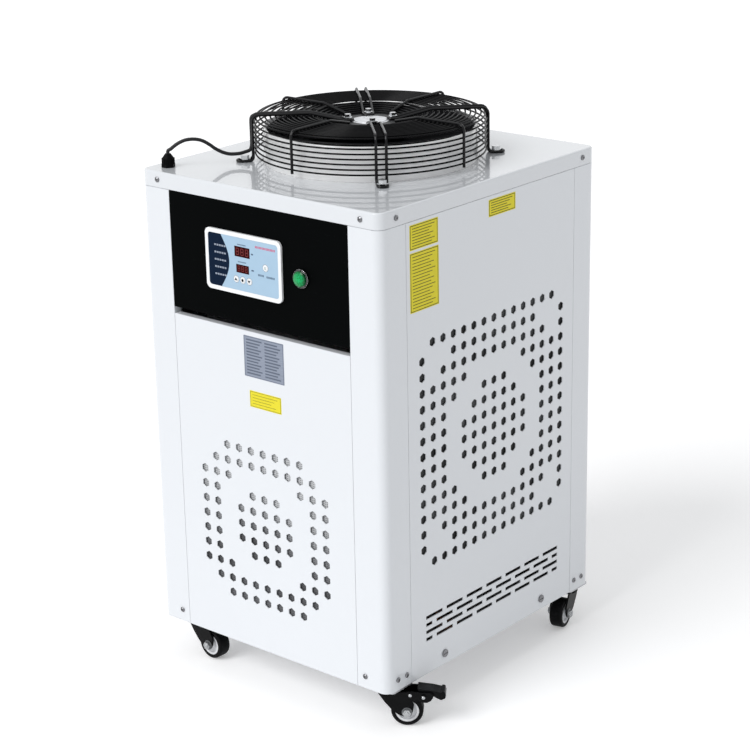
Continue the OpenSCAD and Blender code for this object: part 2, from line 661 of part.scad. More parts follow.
// The cable's route above the cover, from the motor to the gland
cable_route = [
    [-31.2, -31.2, 63], [-34.5, -34.5, 63], [-39, -39, 64.6], [-43, -43, 66.2], [-50, -50, 68.6],
    [-57, -57, 71.2], [-63, -63, 73], [-70, -70, 74.1], [-85, -85, 74.3], [-100, -100, 74.3],
    [-115, -115, 74.3], [-121, -121, 74.1], [-126.5, -126.5, 72.6], [-129.6, -129.6, 69.5],
    [-130.4, -130.4, 64], [-130.4, -130.4, 50], [-130.4, -130.4, 33], [-130.8, -130.8, 24],
    [-132.5, -133, 18], [-137, -140, 15.5], [-141, -146.5, 14], [-147, -156, 14], [-151, -162, 15],
    [-156.5, -170, 18.5], [-162.5, -179, 25], [-167, -185, 31], [-171, -192, 36.6], [-175, -198, 40],
    [-179, -205, 42], [-184, -211, 42.3], [-190, -216.3, 41], [-195.2, -221, 38.2], [-199.7, -225, 34.8],
    [-203.5, -228.2, 31.2], [-206.5, -231, 27.8], [-208.9, -233.2, 26.2], [-210, -234, 24],
    [-210, -234, 21.05]
];
module fan_cable() color("black") cab() on_top() swept_tube(cable_route, cable_dia, 10);

// Refrigeration and water
coil_x = half_w - return_d - 6;
coil_t = 30;
coil_half = 185;
module condenser_coil() color("silver") cab() both_sides() {
    low = side_vent_z - coil_half;
    for (s = [-1, 1]) translate([coil_x - coil_t, s * (coil_half + 1) - 1, floor_z]) cube([coil_t, 2, low + 2 * coil_half - floor_z]);
    difference() {
        translate([coil_x - coil_t + 2, -coil_half, low]) cube([coil_t - 4, 2 * coil_half, 2 * coil_half]);
        for (k = [0 : 23]) translate([coil_x - 4, -coil_half + 8 + k * 15.4, low + 6]) cube([10, 7.7, 2 * coil_half - 12]);
    }
    for (k = [0 : 6]) for (s = [-1, 1])
        translate([coil_x - coil_t / 2, s * (coil_half + 2), low + 40 + k * 48 + (s + 1) * 12]) rotate([0, 90, 90 * s])
            rotate_extrude(angle = 180) translate([12, 0]) circle(4.5, $fn = wire_fn);
}

comp_place = [85, -110];
module compressor() color([0.1, 0.1, 0.1]) cab() translate([comp_place[0], comp_place[1], floor_z]) {
    for (k = [0 : 2]) rotate(120 * k + 30) translate([66, 0, 0]) {
        cylinder(r = 12, h = 14);
        translate([-30, -10, 14]) cube([38, 20, 3]);
    }
    translate([0, 0, 12]) rotate_extrude() polygon([
        [0, 0], [40, 0], [56, 8], [62, 22], [62, 96], [65, 98], [65, 106], [62, 108],
        [62, 170], [55, 188], [38, 198], [0, 201]
    ]);
    for (k = [0 : 2]) rotate(110 * k) translate([25, 0, 200]) cylinder(r = 6, h = 18);
}

tank = [190, 190, 250];
tank_place = [-70, 95];
module water_tank() color("ivory") cab() difference() {
    union() {
        translate([tank_place[0], tank_place[1], floor_z]) linear_extrude(tank[2]) rounded_rect(tank[0], tank[1], 16);
        at_filler() translate([0, 0, -neck_l]) cylinder(r = neck_r, h = neck_l);
    }
    translate([tank_place[0], tank_place[1], floor_z + 4]) linear_extrude(tank[2] - 8)
        rounded_rect(tank[0] - 8, tank[1] - 8, 12);
    at_filler() translate([0, 0, -neck_l - 20]) cylinder(r = neck_r - 3, h = neck_l + 30);
}
filler_x = 70;
filler_z = 380;
neck_l = (half_d + neck_out - 140) * sqrt(2);
module at_filler() translate([-filler_x, half_d + neck_out, filler_z + neck_out]) rotate([-45, 0, 0]) children();
module filler_cap() color("black") cab() at_filler() difference() {
        union() {
            translate([0, 0, -cap_low]) cylinder(r = cap_r - 1, h = cap_h);
            for (k = [0 : 11]) rotate(30 * k) translate([cap_r - 2, -1.5, 1 - cap_low]) cube([2, 3, cap_h - 2]);
        }
        translate([0, 0, -20]) cylinder(r = neck_r + clear, h = 20 + clear);
    }

evap_place = [-30, -60];
module evaporator() color("silver") cab() translate([evap_place[0], evap_place[1], floor_z]) {
    difference() {
        linear_extrude(190) rounded_rect(76, 60, 8);
        for (k = [0 : 6]) translate([0, -26 + 7.6 * k, 12]) linear_extrude(166) difference() {
            square([90, 3], center = true);
            square([73, 10], center = true);
        }
    }
    for (s = [-1, 1]) for (z = [28, 162]) translate([s * 22, -30, z]) rotate([90, 0, 0]) cylinder(r = 10, h = 14);
}

pump_place = [-120, -170];
module water_pump() color("steelblue") cab() translate([pump_place[0], pump_place[1], floor_z]) {
    translate([-30, -45, 0]) cube([60, 110, 6]);
    for (y = [-30, 30]) translate([-14, y - 4, 5]) cube([28, 8, 24]);
    translate([0, -36, 52]) rotate([-90, 0, 0]) {
        difference() {
            cylinder(r = 36, h = 92);
            for (k = [0 : 17]) rotate(20 * k) translate([33, -1.6, 8]) cube([6, 3.2, 74]);
        }
        translate([0, 0, 90]) cylinder(r = 46, h = 30);
        translate([0, 0, 118]) cylinder(r = 13, h = 12);
        translate([0, -40, 105]) rotate([90, 0, 0]) cylinder(r = 12, h = 26);
    }
}

drier_place = [150, -20];
module filter_drier() color("goldenrod") cab() translate([drier_place[0], drier_place[1], floor_z]) {
    translate([-18, -18, 0]) cube([36, 36, 3]);
    translate([-2, -22, 2]) cube([4, 6, 110]);
    translate([0, 0, 50]) rotate_extrude() polygon([
        [0, 0], [6, 0], [6, 12], [18, 24], [18, 88], [6, 100], [6, 112], [0, 112]
    ]);
    translate([-2, -20, 78]) cube([4, 10, 12]);
}

pipe_dia = 9.6;
hose_dia = 18;
module pipe(pts, r, dia) swept_tube(bent_path(pts, [for (p = pts) r]), dia);
module pipework() color("darkorange") cab() {
    stub = floor_z + 218 + clear;
    coil_in = coil_x - coil_t + 2 - clear;
    comp = [comp_place[0], comp_place[1], 0];
    out_stub = comp + [25, 0, stub];
    in_stub = comp + [25 * cos(110), 25 * sin(110), stub];
    drier = [drier_place[0], drier_place[1], 0];
    evap_port = [evap_place[0] + 22, evap_place[1] - 44 - clear, floor_z + 162];
    evap_low = [evap_place[0] + 22, evap_place[1] - 44 - clear, floor_z + 28];
    // Hot gas from the compressor to the condenser
    pipe([out_stub, out_stub + [0, 0, 80], [coil_in - 20, -120, stub + 80],
        [coil_in - 20, -120, 400], [coil_in, -120, 400]], 14, pipe_dia);
    // Liquid from the condenser to the drier, and on to the evaporator
    pipe([drier + [0, 0, floor_z + 162 + clear], drier + [0, 0, 240], drier + [0, 60, 240],
        [coil_in, drier[1] + 60, 240]], 16, pipe_dia);
    pipe([drier + [0, 0, floor_z + 50 - clear], drier + [0, 0, 25], [12, drier[1], 25],
        [12, evap_low[1] - 14, 25], evap_low - [0, 14, 0], evap_low], 6, 5);
    // Gas from the evaporator back to the compressor
    pipe([evap_port, evap_port - [0, 26, 0], [evap_port[0], evap_port[1] - 26, 260],
        [in_stub[0], in_stub[1], 260], in_stub], 12, pipe_dia + 3);
    // Water from the tank to the pump, from the pump to the outlet, and back from the inlet
    pump_top = [pump_place[0], pump_place[1] + 69, floor_z + 118 + clear];
    over = floor_z + tank[2] + 22;
    pipe([[pump_place[0], pump_place[1] + 94 + clear, floor_z + 52],
        [pump_place[0], tank_place[1] - tank[1] / 2 - clear, floor_z + 52]], 1, hose_dia);
    pipe([pump_top, [pump_top[0], pump_top[1], over], [pump_top[0], half_d - 56, over],
        [-outlet_place[0], half_d - 56, over], [-outlet_place[0], half_d - 56, outlet_place[1]],
        [-outlet_place[0], half_d - stub_in - clear, outlet_place[1]]], 14, hose_dia);
    tank_side = tank_place[0] + tank[0] / 2 + clear;
    pipe([[-inlet_place[0], half_d - stub_in - clear, inlet_place[1]], [-inlet_place[0], 150, inlet_place[1]],
        [tank_side, 150, inlet_place[1]]], 14, hose_dia);
    pipe([[-drain_place[0], half_d - stub_in - clear, drain_place[1]], [-drain_place[0], 160, drain_place[1]],
        [tank_side, 160, drain_place[1]]], 14, 14);
}
stub_in = 40;

module electrical_box() color("lightgray") cab() translate([0, -half_d + return_d + 0.1 + clear, 0]) {
    translate([-front_half - 6, 0, 552]) cube([2 * front_half + 12, 2, 24]);
    difference() {
        translate([-150, 51, 560]) cube([300, 62, 120]);
        translate([-147, 49, 563]) cube([294, 61, 114]);
    }
    for (s = [-1, 1]) translate([s * 148 - 2, 1, 560]) cube([4, 53, 16]);
}

// Rear fittings, placed by their x and z on the rear panel
inlet_place = [-50, 235];
outlet_place = [-110, 190];
drain_place = [-110, 90];
power_place = [115, 620];
gauge_place = [70, 180];
gauge_w = 34;
gauge_h = 120;
drain_r = 9;
nut_t = 5;
nut_rim = 4.5;
module port(place) cab() on_rear(place[0], place[1]) difference() {
    union() {
        translate([0, 0, -stub_in]) cylinder(d = port_dia, h = port_l + stub_in);
        translate([0, 0, clear]) cylinder(r = port_dia / 2 + nut_rim, h = nut_t, $fn = 6);
        translate([0, 0, -sheet_t - clear - nut_t]) cylinder(r = port_dia / 2 + nut_rim, h = nut_t, $fn = 6);
    }
    translate([0, 0, -stub_in - 1]) cylinder(d = port_bore, h = stub_in + port_l + 2);
}
module water_inlet() color("goldenrod") port(inlet_place);
module water_outlet() color("goldenrod") port(outlet_place);
module water_drain() color("goldenrod") cab() on_rear(drain_place[0], drain_place[1]) {
    translate([0, 0, -stub_in]) cylinder(r = drain_r, h = stub_in + 14);
    translate([0, 0, clear]) cylinder(r = drain_r + nut_rim, h = nut_t, $fn = 6);
    translate([0, 0, -sheet_t - clear - nut_t]) cylinder(r = drain_r + nut_rim, h = nut_t, $fn = 6);
    translate([0, 0, 13]) cylinder(r = drain_r + 3, h = 9, $fn = 6);
}
module level_gauge() color("whitesmoke") cab() on_rear(gauge_place[0], gauge_place[1]) difference() {
    union() {
        translate([0, 0, clear]) linear_extrude(4) rounded_rect(gauge_w, gauge_h, 6);
        translate([0, 0, -10]) linear_extrude(11) square([gauge_w - 9, gauge_h - 9], center = true);
    }
    translate([0, 0, 2]) linear_extrude(6) rounded_rect(gauge_w - 16, gauge_h - 20, 4);
}
module power_inlet() color("black") cab() on_rear(power_place[0], power_place[1]) {
    difference() {
        union() {
            translate([0, 0, clear]) linear_extrude(3) rounded_rect(58, 36, 5);
            translate([0, 0, -28]) linear_extrude(29) square([47, 27], center = true);
        }
        translate([0, 0, -16]) linear_extrude(30) square([25, 16.5], center = true);
    }
    for (x = [-7, 0, 7]) translate([x - 1, x == 0 ? 0.5 : -3.5, -17]) cube([2, 4, 13]);
}

// Screws
screw_r = 2;
lock_y = 127;
lock_z = 18.5;
lock_r = 4.5;
module pan_screw() {
    translate([0, 0, clear]) difference() {
        union() {
            cylinder(r = 4.2, h = 1);
            translate([0, 0, 0.95]) cylinder(r1 = 4.2, r2 = 2.4, h = screw_proud - clear - 0.95);
        }
        for (a = [0, 90]) rotate(a) translate([-2, -0.45, 1]) cube([4, 0.9, 3]);
    }
    translate([0, 0, -4]) cylinder(r = screw_r, h = 5);
}
module quarter_lock() {
    difference() {
        translate([0, 0, clear]) cylinder(r = lock_r + 2, h = 1.5);
        translate([-5, -0.9, 1]) cube([10, 1.8, 3]);
    }
    translate([0, 0, -3]) cylinder(r = lock_r, h = 4);
}
module panel_screws() color("silver") cab() {
    cover_screws() pan_screw();
    all_post_screws() pan_screw();
    for (s = [-1, 1]) {
        on_right(s * lock_y, lock_z) quarter_lock();
        on_left(s * lock_y, lock_z) quarter_lock();
    }
}

// Castors: x points from the swivel axis to the wheel
plate_t = 3;
plate_w = 52;
castor_bolt = 16.5;
castor_bolt_r = 2.5;
castor_nut_r = 4.6;
race_r = 19.5;
crown_z = -8.3;
crown_t = 4.6;
kingpin_r = 5;
axle_r = 4;
axle_z = wheel_dia / 2 - castor_h;
leg_t = 2.6;
pedal_z = -17;
pedal_pin_r = 3;
module at_castor(i) cab() translate([castors[i][0], castors[i][1], 0]) rotate(castors[i][2]) children();
module caster_plates() color("silver") cab() for (c = castors) translate([c[0], c[1], 0]) {
    difference() {
        union() {
            translate([0, 0, -plate_t - clear]) linear_extrude(plate_t) rounded_rect(plate_w, plate_w, 6);
            translate([0, 0, crown_z + clear]) cylinder(r1 = race_r, r2 = race_r - 3, h = -crown_z - plate_t);
        }
        four_corners(castor_bolt, castor_bolt) translate([0, 0, -8])
            cylinder(r = castor_bolt_r + 0.05, h = 10);
    }
    translate([0, 0, crown_z - crown_t - 1]) cylinder(r = kingpin_r, h = crown_t + 3);
    translate([0, 0, crown_z - crown_t - clear - 2]) cylinder(r1 = 6.5, r2 = 8, h = 2);
}
module caster_bolts() color("silver") cab() for (c = castors) translate([c[0], c[1], 0])
    four_corners(castor_bolt, castor_bolt) {
        translate([0, 0, -plate_t - clear - 0.05]) cylinder(r = castor_bolt_r, h = plate_t + tray_t + 8);
        translate([0, 0, -plate_t - clear - 2.05]) cylinder(r = castor_nut_r, h = 2, $fn = 6);
        translate([0, 0, tray_t + 0.05]) cylinder(r = castor_nut_r, h = 4, $fn = 6);
    }
module fork_leg() difference() {
    linear_extrude(leg_t) polygon([
        [-19, crown_z - 1], [24, crown_z - 1], [trail + 11, axle_z + 13], [trail + 9, axle_z + 1],
        [trail + 4, axle_z - 6.5], [trail - 4, axle_z - 7.5], [trail - 13, axle_z - 4],
        [trail - 23, axle_z + 4], [trail - 34, axle_z + 17]
    ]);
    translate([trail, axle_z, -1]) cylinder(r = axle_r + 0.05, h = leg_t + 2);
}
module brake_arm() linear_extrude(leg_t) polygon([
    [10, crown_z - 1], [10, pedal_z - 7], [pedal_x - 4, pedal_z - 7], [pedal_x - 1, pedal_z - 9],
    [pedal_x + 5, pedal_z - 9.4], [pedal_x + 11, pedal_z - 6.4], [pedal_x + 14.6, pedal_z - 1],
    [pedal_x + 15.6, pedal_z + 3.6], [pedal_x + 11, pedal_z + 7.6]
]);
module caster_fork(braked) {
    difference() {
        union() {
            translate([0, 0, crown_z - crown_t]) cylinder(r = race_r, h = crown_t);
            for (s = [-1, 1]) translate([0, s * (leg_in + leg_t / 2) + leg_t / 2, 0]) rotate([90, 0, 0]) fork_leg();
            translate([-14, -leg_in - leg_t, crown_z - crown_t]) cube([30, 2 * (leg_in + leg_t), crown_t - 1]);
            if (braked) for (s = [-1, 1]) translate([0, s * (leg_in + leg_t / 2) + leg_t / 2, 0]) rotate([90, 0, 0])
                brake_arm();
        }
        translate([0, 0, -20]) cylinder(r = kingpin_r + 0.05, h = 20);
        if (braked) translate([pedal_x, 50, pedal_z]) rotate([90, 0, 0]) cylinder(r = pedal_pin_r + 0.05, h = 100);
    }
    translate([trail, leg_in + leg_t + 5, axle_z]) rotate([90, 0, 0]) cylinder(r = axle_r, h = 2 * (leg_in + leg_t) + 10);
    for (s = [-1, 1]) translate([trail, s * (leg_in + leg_t + 2.55), axle_z]) rotate([90, 0, 0])
        cylinder(r = 6.2, h = 5, center = true, $fn = 6);
    if (braked) {
        translate([pedal_x, leg_in + leg_t + 1.5, pedal_z]) rotate([90, 0, 0])
            cylinder(r = pedal_pin_r, h = 2 * (leg_in + leg_t) + 3);
        for (s = [-1, 1]) translate([pedal_x, s * (leg_in + leg_t + 1), pedal_z]) rotate([90, 0, 0])
            cylinder(r = pedal_pin_r + 1.5, h = 1.8, center = true);
    }
}
module wheel_hub() translate([trail, 0, axle_z]) rotate([90, 0, 0]) difference() {
    union() {
        translate([0, 0, -wheel_w / 2 + 1]) cylinder(r = hub_r, h = wheel_w - 2);
        translate([0, 0, -leg_in + clear]) cylinder(r = 8, h = 2 * (leg_in - clear));
    }
    for (s = [0, 1]) mirror([0, 0, s]) translate([0, 0, wheel_w / 2 - 5]) tube(hub_r - 3.5, 8, 10);
    translate([0, 0, -20]) cylinder(r = axle_r + 0.05, h = 40);
}
hub_r = 18.3;
module wheel_tyre() translate([trail, 0, axle_z]) rotate([90, 0, 0]) {
    w = wheel_w / 2;
    r = wheel_dia / 2;
    rotate_extrude($fn = 72) polygon([
        [hub_r + 0.05, -w], [r - 2.5, -w], [r - 0.8, -w + 1.2], [r, -w + 3.5], [r, w - 3.5],
        [r - 0.8, w - 1.2], [r - 2.5, w], [hub_r + 0.05, w]
    ]);
}
module brake_pedal() {
    width = 2 * pedal_half;
    difference() {
        translate([pedal_x, 0, pedal_z]) rotate([90, 0, 0]) translate([0, 0, -pedal_half]) {
            cylinder(r = 5, h = width);
            linear_extrude(width) polygon([
                [-9, 12.4], [-8, 9.6], [-4.6, 3], [2, -4.9], [9, -3], [15.6, 0.3], [20, -2.7], [26.9, -5.9],
                [33.2, -2.9], [pedal_l, 1.9], [32.4, 8.2], [27.9, 8.6], [27.1, 6.6], [14.6, 9.6]
            ]);
            linear_extrude(width) polygon([[-4.9, 0], [-2, -4], [-3.6, -10.4], [-6.6, -8.9]]);
        }
        translate([pedal_x, 50, pedal_z]) rotate([90, 0, 0]) cylinder(r = pedal_pin_r + 0.05, h = 100);
    }
}
module caster_fork_fr() color("black") at_castor(0) caster_fork(true);
module caster_fork_fl() color("black") at_castor(1) caster_fork(false);
module caster_fork_rr() color("black") at_castor(2) caster_fork(false);
module caster_fork_rl() color("black") at_castor(3) caster_fork(true);
module wheel_hub_fr() color("gray") at_castor(0) wheel_hub();
module wheel_hub_fl() color("gray") at_castor(1) wheel_hub();
module wheel_hub_rr() color("gray") at_castor(2) wheel_hub();
module wheel_hub_rl() color("gray") at_castor(3) wheel_hub();
module wheel_tyre_fr() color("black") at_castor(0) wheel_tyre();
module wheel_tyre_fl() color("black") at_castor(1) wheel_tyre();
module wheel_tyre_rr() color("black") at_castor(2) wheel_tyre();
module wheel_tyre_rl() color("black") at_castor(3) wheel_tyre();
module brake_pedal_fr() color("black") at_castor(0) brake_pedal();
module brake_pedal_rl() color("black") at_castor(3) brake_pedal();

base_tray();
front_left_post();
front_right_post();
rear_posts();
top_cover();
control_fascia();
lower_front_panel();
right_side_panel();
left_side_panel();
rear_panel();
dust_filters();
controller_housing();
controller_faceplate();
controller_display();
key_left();
key_middle();
key_right();
key_power();
button_body();
power_button();
fan_shroud();
fan_guard();
guard_arms();
motor_stator();
motor_rotor();
fan_blades();
guard_bolts();
cable_gland();
fan_cable();
condenser_coil();
compressor();
water_tank();
evaporator();
water_pump();
filter_drier();
pipework();
electrical_box();
water_inlet();
water_outlet();
water_drain();
filler_cap();
level_gauge();
power_inlet();
panel_screws();
caster_plates();
caster_bolts();
caster_fork_fr();
caster_fork_fl();
caster_fork_rr();
caster_fork_rl();
wheel_hub_fr();
wheel_hub_fl();
wheel_hub_rr();
wheel_hub_rl();
wheel_tyre_fr();
wheel_tyre_fl();
wheel_tyre_rr();
wheel_tyre_rl();
brake_pedal_fr();
brake_pedal_rl();
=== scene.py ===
"""Looks of the industrial water chiller: materials, panels, hardware, cable, floor, light and camera."""
import json
import math

import bmesh
import bpy
from mathutils import Euler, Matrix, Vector


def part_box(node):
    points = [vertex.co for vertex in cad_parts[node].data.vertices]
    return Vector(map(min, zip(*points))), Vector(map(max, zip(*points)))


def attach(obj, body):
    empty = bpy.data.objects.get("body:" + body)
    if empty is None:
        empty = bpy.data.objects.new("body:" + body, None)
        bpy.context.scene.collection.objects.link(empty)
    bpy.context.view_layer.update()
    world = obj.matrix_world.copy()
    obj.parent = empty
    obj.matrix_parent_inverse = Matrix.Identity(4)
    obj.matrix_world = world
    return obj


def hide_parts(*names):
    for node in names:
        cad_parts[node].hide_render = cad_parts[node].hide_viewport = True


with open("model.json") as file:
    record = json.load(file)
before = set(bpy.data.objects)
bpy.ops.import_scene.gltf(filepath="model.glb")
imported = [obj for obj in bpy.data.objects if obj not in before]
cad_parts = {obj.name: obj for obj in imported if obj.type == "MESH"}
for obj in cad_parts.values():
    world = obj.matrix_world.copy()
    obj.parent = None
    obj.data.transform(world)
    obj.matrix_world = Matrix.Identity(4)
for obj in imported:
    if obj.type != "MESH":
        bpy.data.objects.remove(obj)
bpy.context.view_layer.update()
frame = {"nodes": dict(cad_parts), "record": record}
nodes = frame["nodes"]

# The cabinet's own frame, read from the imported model: centre of its footprint and its lower edge
COVER_LOW, COVER_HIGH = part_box("top_cover")
POST_LOW, POST_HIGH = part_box("front_right_post")
CAB = Vector(((COVER_LOW.x + COVER_HIGH.x) / 2, (COVER_LOW.y + COVER_HIGH.y) / 2, POST_LOW.z))
HALF_W = (COVER_HIGH.x - COVER_LOW.x) / 2
HALF_D = (COVER_HIGH.y - COVER_LOW.y) / 2
TOP = COVER_HIGH.z - POST_LOW.z
MM = 0.001
# The push button's place on the front: across and up
BUTTON = (89, 631)


def at(x, y, z):
    """A point in the row frame from millimetres in the cabinet's frame."""
    return CAB + Vector((x, y, z)) * MM


# Camera, at the photograph's viewing angle: millimetres in the cabinet's frame, degrees and millimetres
CAMERA_PLACE = (2110.7, -2485.7, 1503.7)
CAMERA_TURN = (71.161, 1.032, 39.991)
CAMERA_LENS = 102.77

camera = bpy.data.objects.new("camera", bpy.data.cameras.new("camera"))
bpy.context.scene.collection.objects.link(camera)
camera.location = at(*CAMERA_PLACE)
camera.rotation_euler = Euler([math.radians(a) for a in CAMERA_TURN])
camera.data.lens = CAMERA_LENS
camera.data.sensor_width = 36
camera.data.clip_end = 50
bpy.context.scene.camera = camera


# Shader helpers
def new_material(name):
    """A material with a plain Principled shader: the material, its tree and the shader."""
    mat = bpy.data.materials.new(name)
    mat.use_nodes = True
    tree = mat.node_tree
    tree.nodes.clear()
    out = tree.nodes.new("ShaderNodeOutputMaterial")
    bsdf = tree.nodes.new("ShaderNodeBsdfPrincipled")
    tree.links.new(bsdf.outputs[0], out.inputs[0])
    return mat, tree, bsdf


def add(tree, kind, **values):
    """A node of a kind, with its inputs or properties set by name."""
    node = tree.nodes.new(kind)
    for key, value in values.items():
        if key in node.inputs:
            node.inputs[key].default_value = value
        else:
            setattr(node, key, value)
    return node


def ramp(tree, source, stops):
    """A colour ramp of (position, colour) stops, driven by a socket."""
    node = tree.nodes.new("ShaderNodeValToRGB")
    elements = node.color_ramp.elements
    while len(elements) < len(stops):
        elements.new(0.5)
    for element, (pos, colour) in zip(elements, stops):
        element.position = pos
        element.color = (*colour, 1)
    tree.links.new(source, node.inputs[0])
    return node


def tint(colour, factor):
    """A colour made lighter or darker."""
    return tuple(min(1.0, c * factor) for c in colour)


def finish_of(name, colour, roughness, metallic=0.0, coat=0.0, coat_rough=0.05, spread=0.03, scale=35.0,
              bump=0.0, bump_scale=700.0, rough_spread=0.06, edge=0.0, specular=0.5):
    """A paint, plastic or metal: slight colour drift, uneven gloss, fine bump and softened edges."""
    mat, tree, bsdf = new_material(name)
    link = tree.links.new
    coords = add(tree, "ShaderNodeTexCoord")
    drift = add(tree, "ShaderNodeTexNoise", Scale=scale, Detail=4.0)
    link(coords.outputs["Object"], drift.inputs["Vector"])
    shade = ramp(tree, drift.outputs[0], [(0.3, tint(colour, 1 - spread)), (0.7, tint(colour, 1 + spread))])
    link(shade.outputs[0], bsdf.inputs["Base Color"])
    gloss = add(tree, "ShaderNodeMapRange")
    gloss.inputs["To Min"].default_value = max(0.02, roughness - rough_spread)
    gloss.inputs["To Max"].default_value = min(1.0, roughness + rough_spread)
    smudge = add(tree, "ShaderNodeTexNoise", Scale=scale * 0.35, Detail=6.0)
    link(coords.outputs["Object"], smudge.inputs["Vector"])
    link(smudge.outputs[0], gloss.inputs["Value"])
    link(gloss.outputs[0], bsdf.inputs["Roughness"])
    bsdf.inputs["Metallic"].default_value = metallic
    bsdf.inputs["Specular IOR Level"].default_value = specular
    bsdf.inputs["Coat Weight"].default_value = coat
    bsdf.inputs["Coat Roughness"].default_value = coat_rough
    normal = None
    if edge:
        soft = add(tree, "ShaderNodeBevel", samples=4)
        soft.inputs["Radius"].default_value = edge
        normal = soft.outputs[0]
        link(normal, bsdf.inputs["Coat Normal"])
    if bump:
        grain = add(tree, "ShaderNodeTexNoise", Scale=bump_scale, Detail=2.0)
        link(coords.outputs["Object"], grain.inputs["Vector"])
        relief = add(tree, "ShaderNodeBump", Strength=bump, Distance=0.0003)
        link(grain.outputs[0], relief.inputs["Height"])
        if normal:
            link(normal, relief.inputs["Normal"])
        normal = relief.outputs[0]
    if normal:
        link(normal, bsdf.inputs["Normal"])
    return mat


def mesh_filter(name):
    """Woven filter cloth: crossing threads, with painted light toward the top behind the front and painted
    shade behind the sides.
    """
    mat, tree, bsdf = new_material(name)
    link = tree.links.new
    coords = add(tree, "ShaderNodeTexCoord")
    total = None
    for axis in ("X", "Y", "Z"):
        wave = add(tree, "ShaderNodeTexWave", wave_type="BANDS", bands_direction=axis, Scale=95.0)
        link(coords.outputs["Object"], wave.inputs["Vector"])
        if total is None:
            total = wave.outputs[1]
        else:
            join = add(tree, "ShaderNodeMath", operation="MAXIMUM")
            link(total, join.inputs[0])
            link(wave.outputs[1], join.inputs[1])
            total = join.outputs[0]
    shade_wobble = add(tree, "ShaderNodeTexNoise", Scale=9.0, Detail=5.0)
    link(coords.outputs["Object"], shade_wobble.inputs["Vector"])
    threads = ramp(tree, total, [(0.35, (0.20, 0.205, 0.21)), (0.9, (0.62, 0.63, 0.645))])
    spot = add(tree, "ShaderNodeSeparateXYZ")
    link(coords.outputs["Object"], spot.inputs[0])
    height = add(tree, "ShaderNodeMapRange")
    height.inputs["From Min"].default_value = FRONT_FILTER_LOW
    height.inputs["From Max"].default_value = FRONT_FILTER_HIGH
    link(spot.outputs[2], height.inputs["Value"])
    wander = add(tree, "ShaderNodeMath", operation="MULTIPLY_ADD")
    wander.inputs[1].default_value = FILTER_WANDER
    wander.inputs[2].default_value = -FILTER_WANDER / 2
    link(shade_wobble.outputs[0], wander.inputs[0])
    level = add(tree, "ShaderNodeMath", operation="ADD")
    link(height.outputs[0], level.inputs[0])
    link(wander.outputs[0], level.inputs[1])
    # Painted light and shade behind the front: the filter turns white toward its top and darker lower down
    front = ramp(tree, level.outputs[0], [(0.0, (0.28, 0.28, 0.29)), (0.24, (0.12, 0.12, 0.125)),
                                          (0.45, (0.36, 0.36, 0.37)), (0.75, (1.0, 1.0, 1.0))])
    # Painted shade behind the sides: the side filters are near black, varied by noise
    side = ramp(tree, shade_wobble.outputs[0], [(0.38, (0.012, 0.012, 0.013)), (0.66, (0.20, 0.205, 0.21))])
    across = add(tree, "ShaderNodeMath", operation="ABSOLUTE")
    link(spot.outputs[0], across.inputs[0])
    is_side = add(tree, "ShaderNodeMath", operation="GREATER_THAN")
    is_side.inputs[1].default_value = SIDE_FILTER_X
    link(across.outputs[0], is_side.inputs[0])
    shade = add(tree, "ShaderNodeMix", data_type="RGBA")
    link(is_side.outputs[0], shade.inputs[0])
    link(front.outputs[0], shade.inputs[6])
    link(side.outputs[0], shade.inputs[7])
    mixed = add(tree, "ShaderNodeMix", data_type="RGBA", blend_type="MULTIPLY")
    mixed.inputs[0].default_value = 1.0
    link(threads.outputs[0], mixed.inputs[6])
    link(shade.outputs[2], mixed.inputs[7])
    link(mixed.outputs[2], bsdf.inputs["Base Color"])
    relief = add(tree, "ShaderNodeBump", Strength=0.5, Distance=0.0004)
    link(total, relief.inputs["Height"])
    link(relief.outputs[0], bsdf.inputs["Normal"])
    bsdf.inputs["Roughness"].default_value = 0.8
    return mat


def brushed(name, colour, roughness, axis):
    """Drawn or brushed metal with fine lines along one axis."""
    mat, tree, bsdf = new_material(name)
    link = tree.links.new
    coords = add(tree, "ShaderNodeTexCoord")
    stretch = add(tree, "ShaderNodeMapping")
    stretch.inputs["Scale"].default_value = [6.0 if a == axis else 260.0 for a in "XYZ"]
    link(coords.outputs["Object"], stretch.inputs["Vector"])
    lines = add(tree, "ShaderNodeTexNoise", Scale=3.0, Detail=5.0)
    link(stretch.outputs[0], lines.inputs["Vector"])
    shade = ramp(tree, lines.outputs[0], [(0.3, tint(colour, 0.85)), (0.7, tint(colour, 1.08))])
    link(shade.outputs[0], bsdf.inputs["Base Color"])
    gloss = add(tree, "ShaderNodeMapRange")
    gloss.inputs["To Min"].default_value = roughness - 0.08
    gloss.inputs["To Max"].default_value = roughness + 0.12
    link(lines.outputs[0], gloss.inputs["Value"])
    link(gloss.outputs[0], bsdf.inputs["Roughness"])
    bsdf.inputs["Metallic"].default_value = 1.0
    return mat


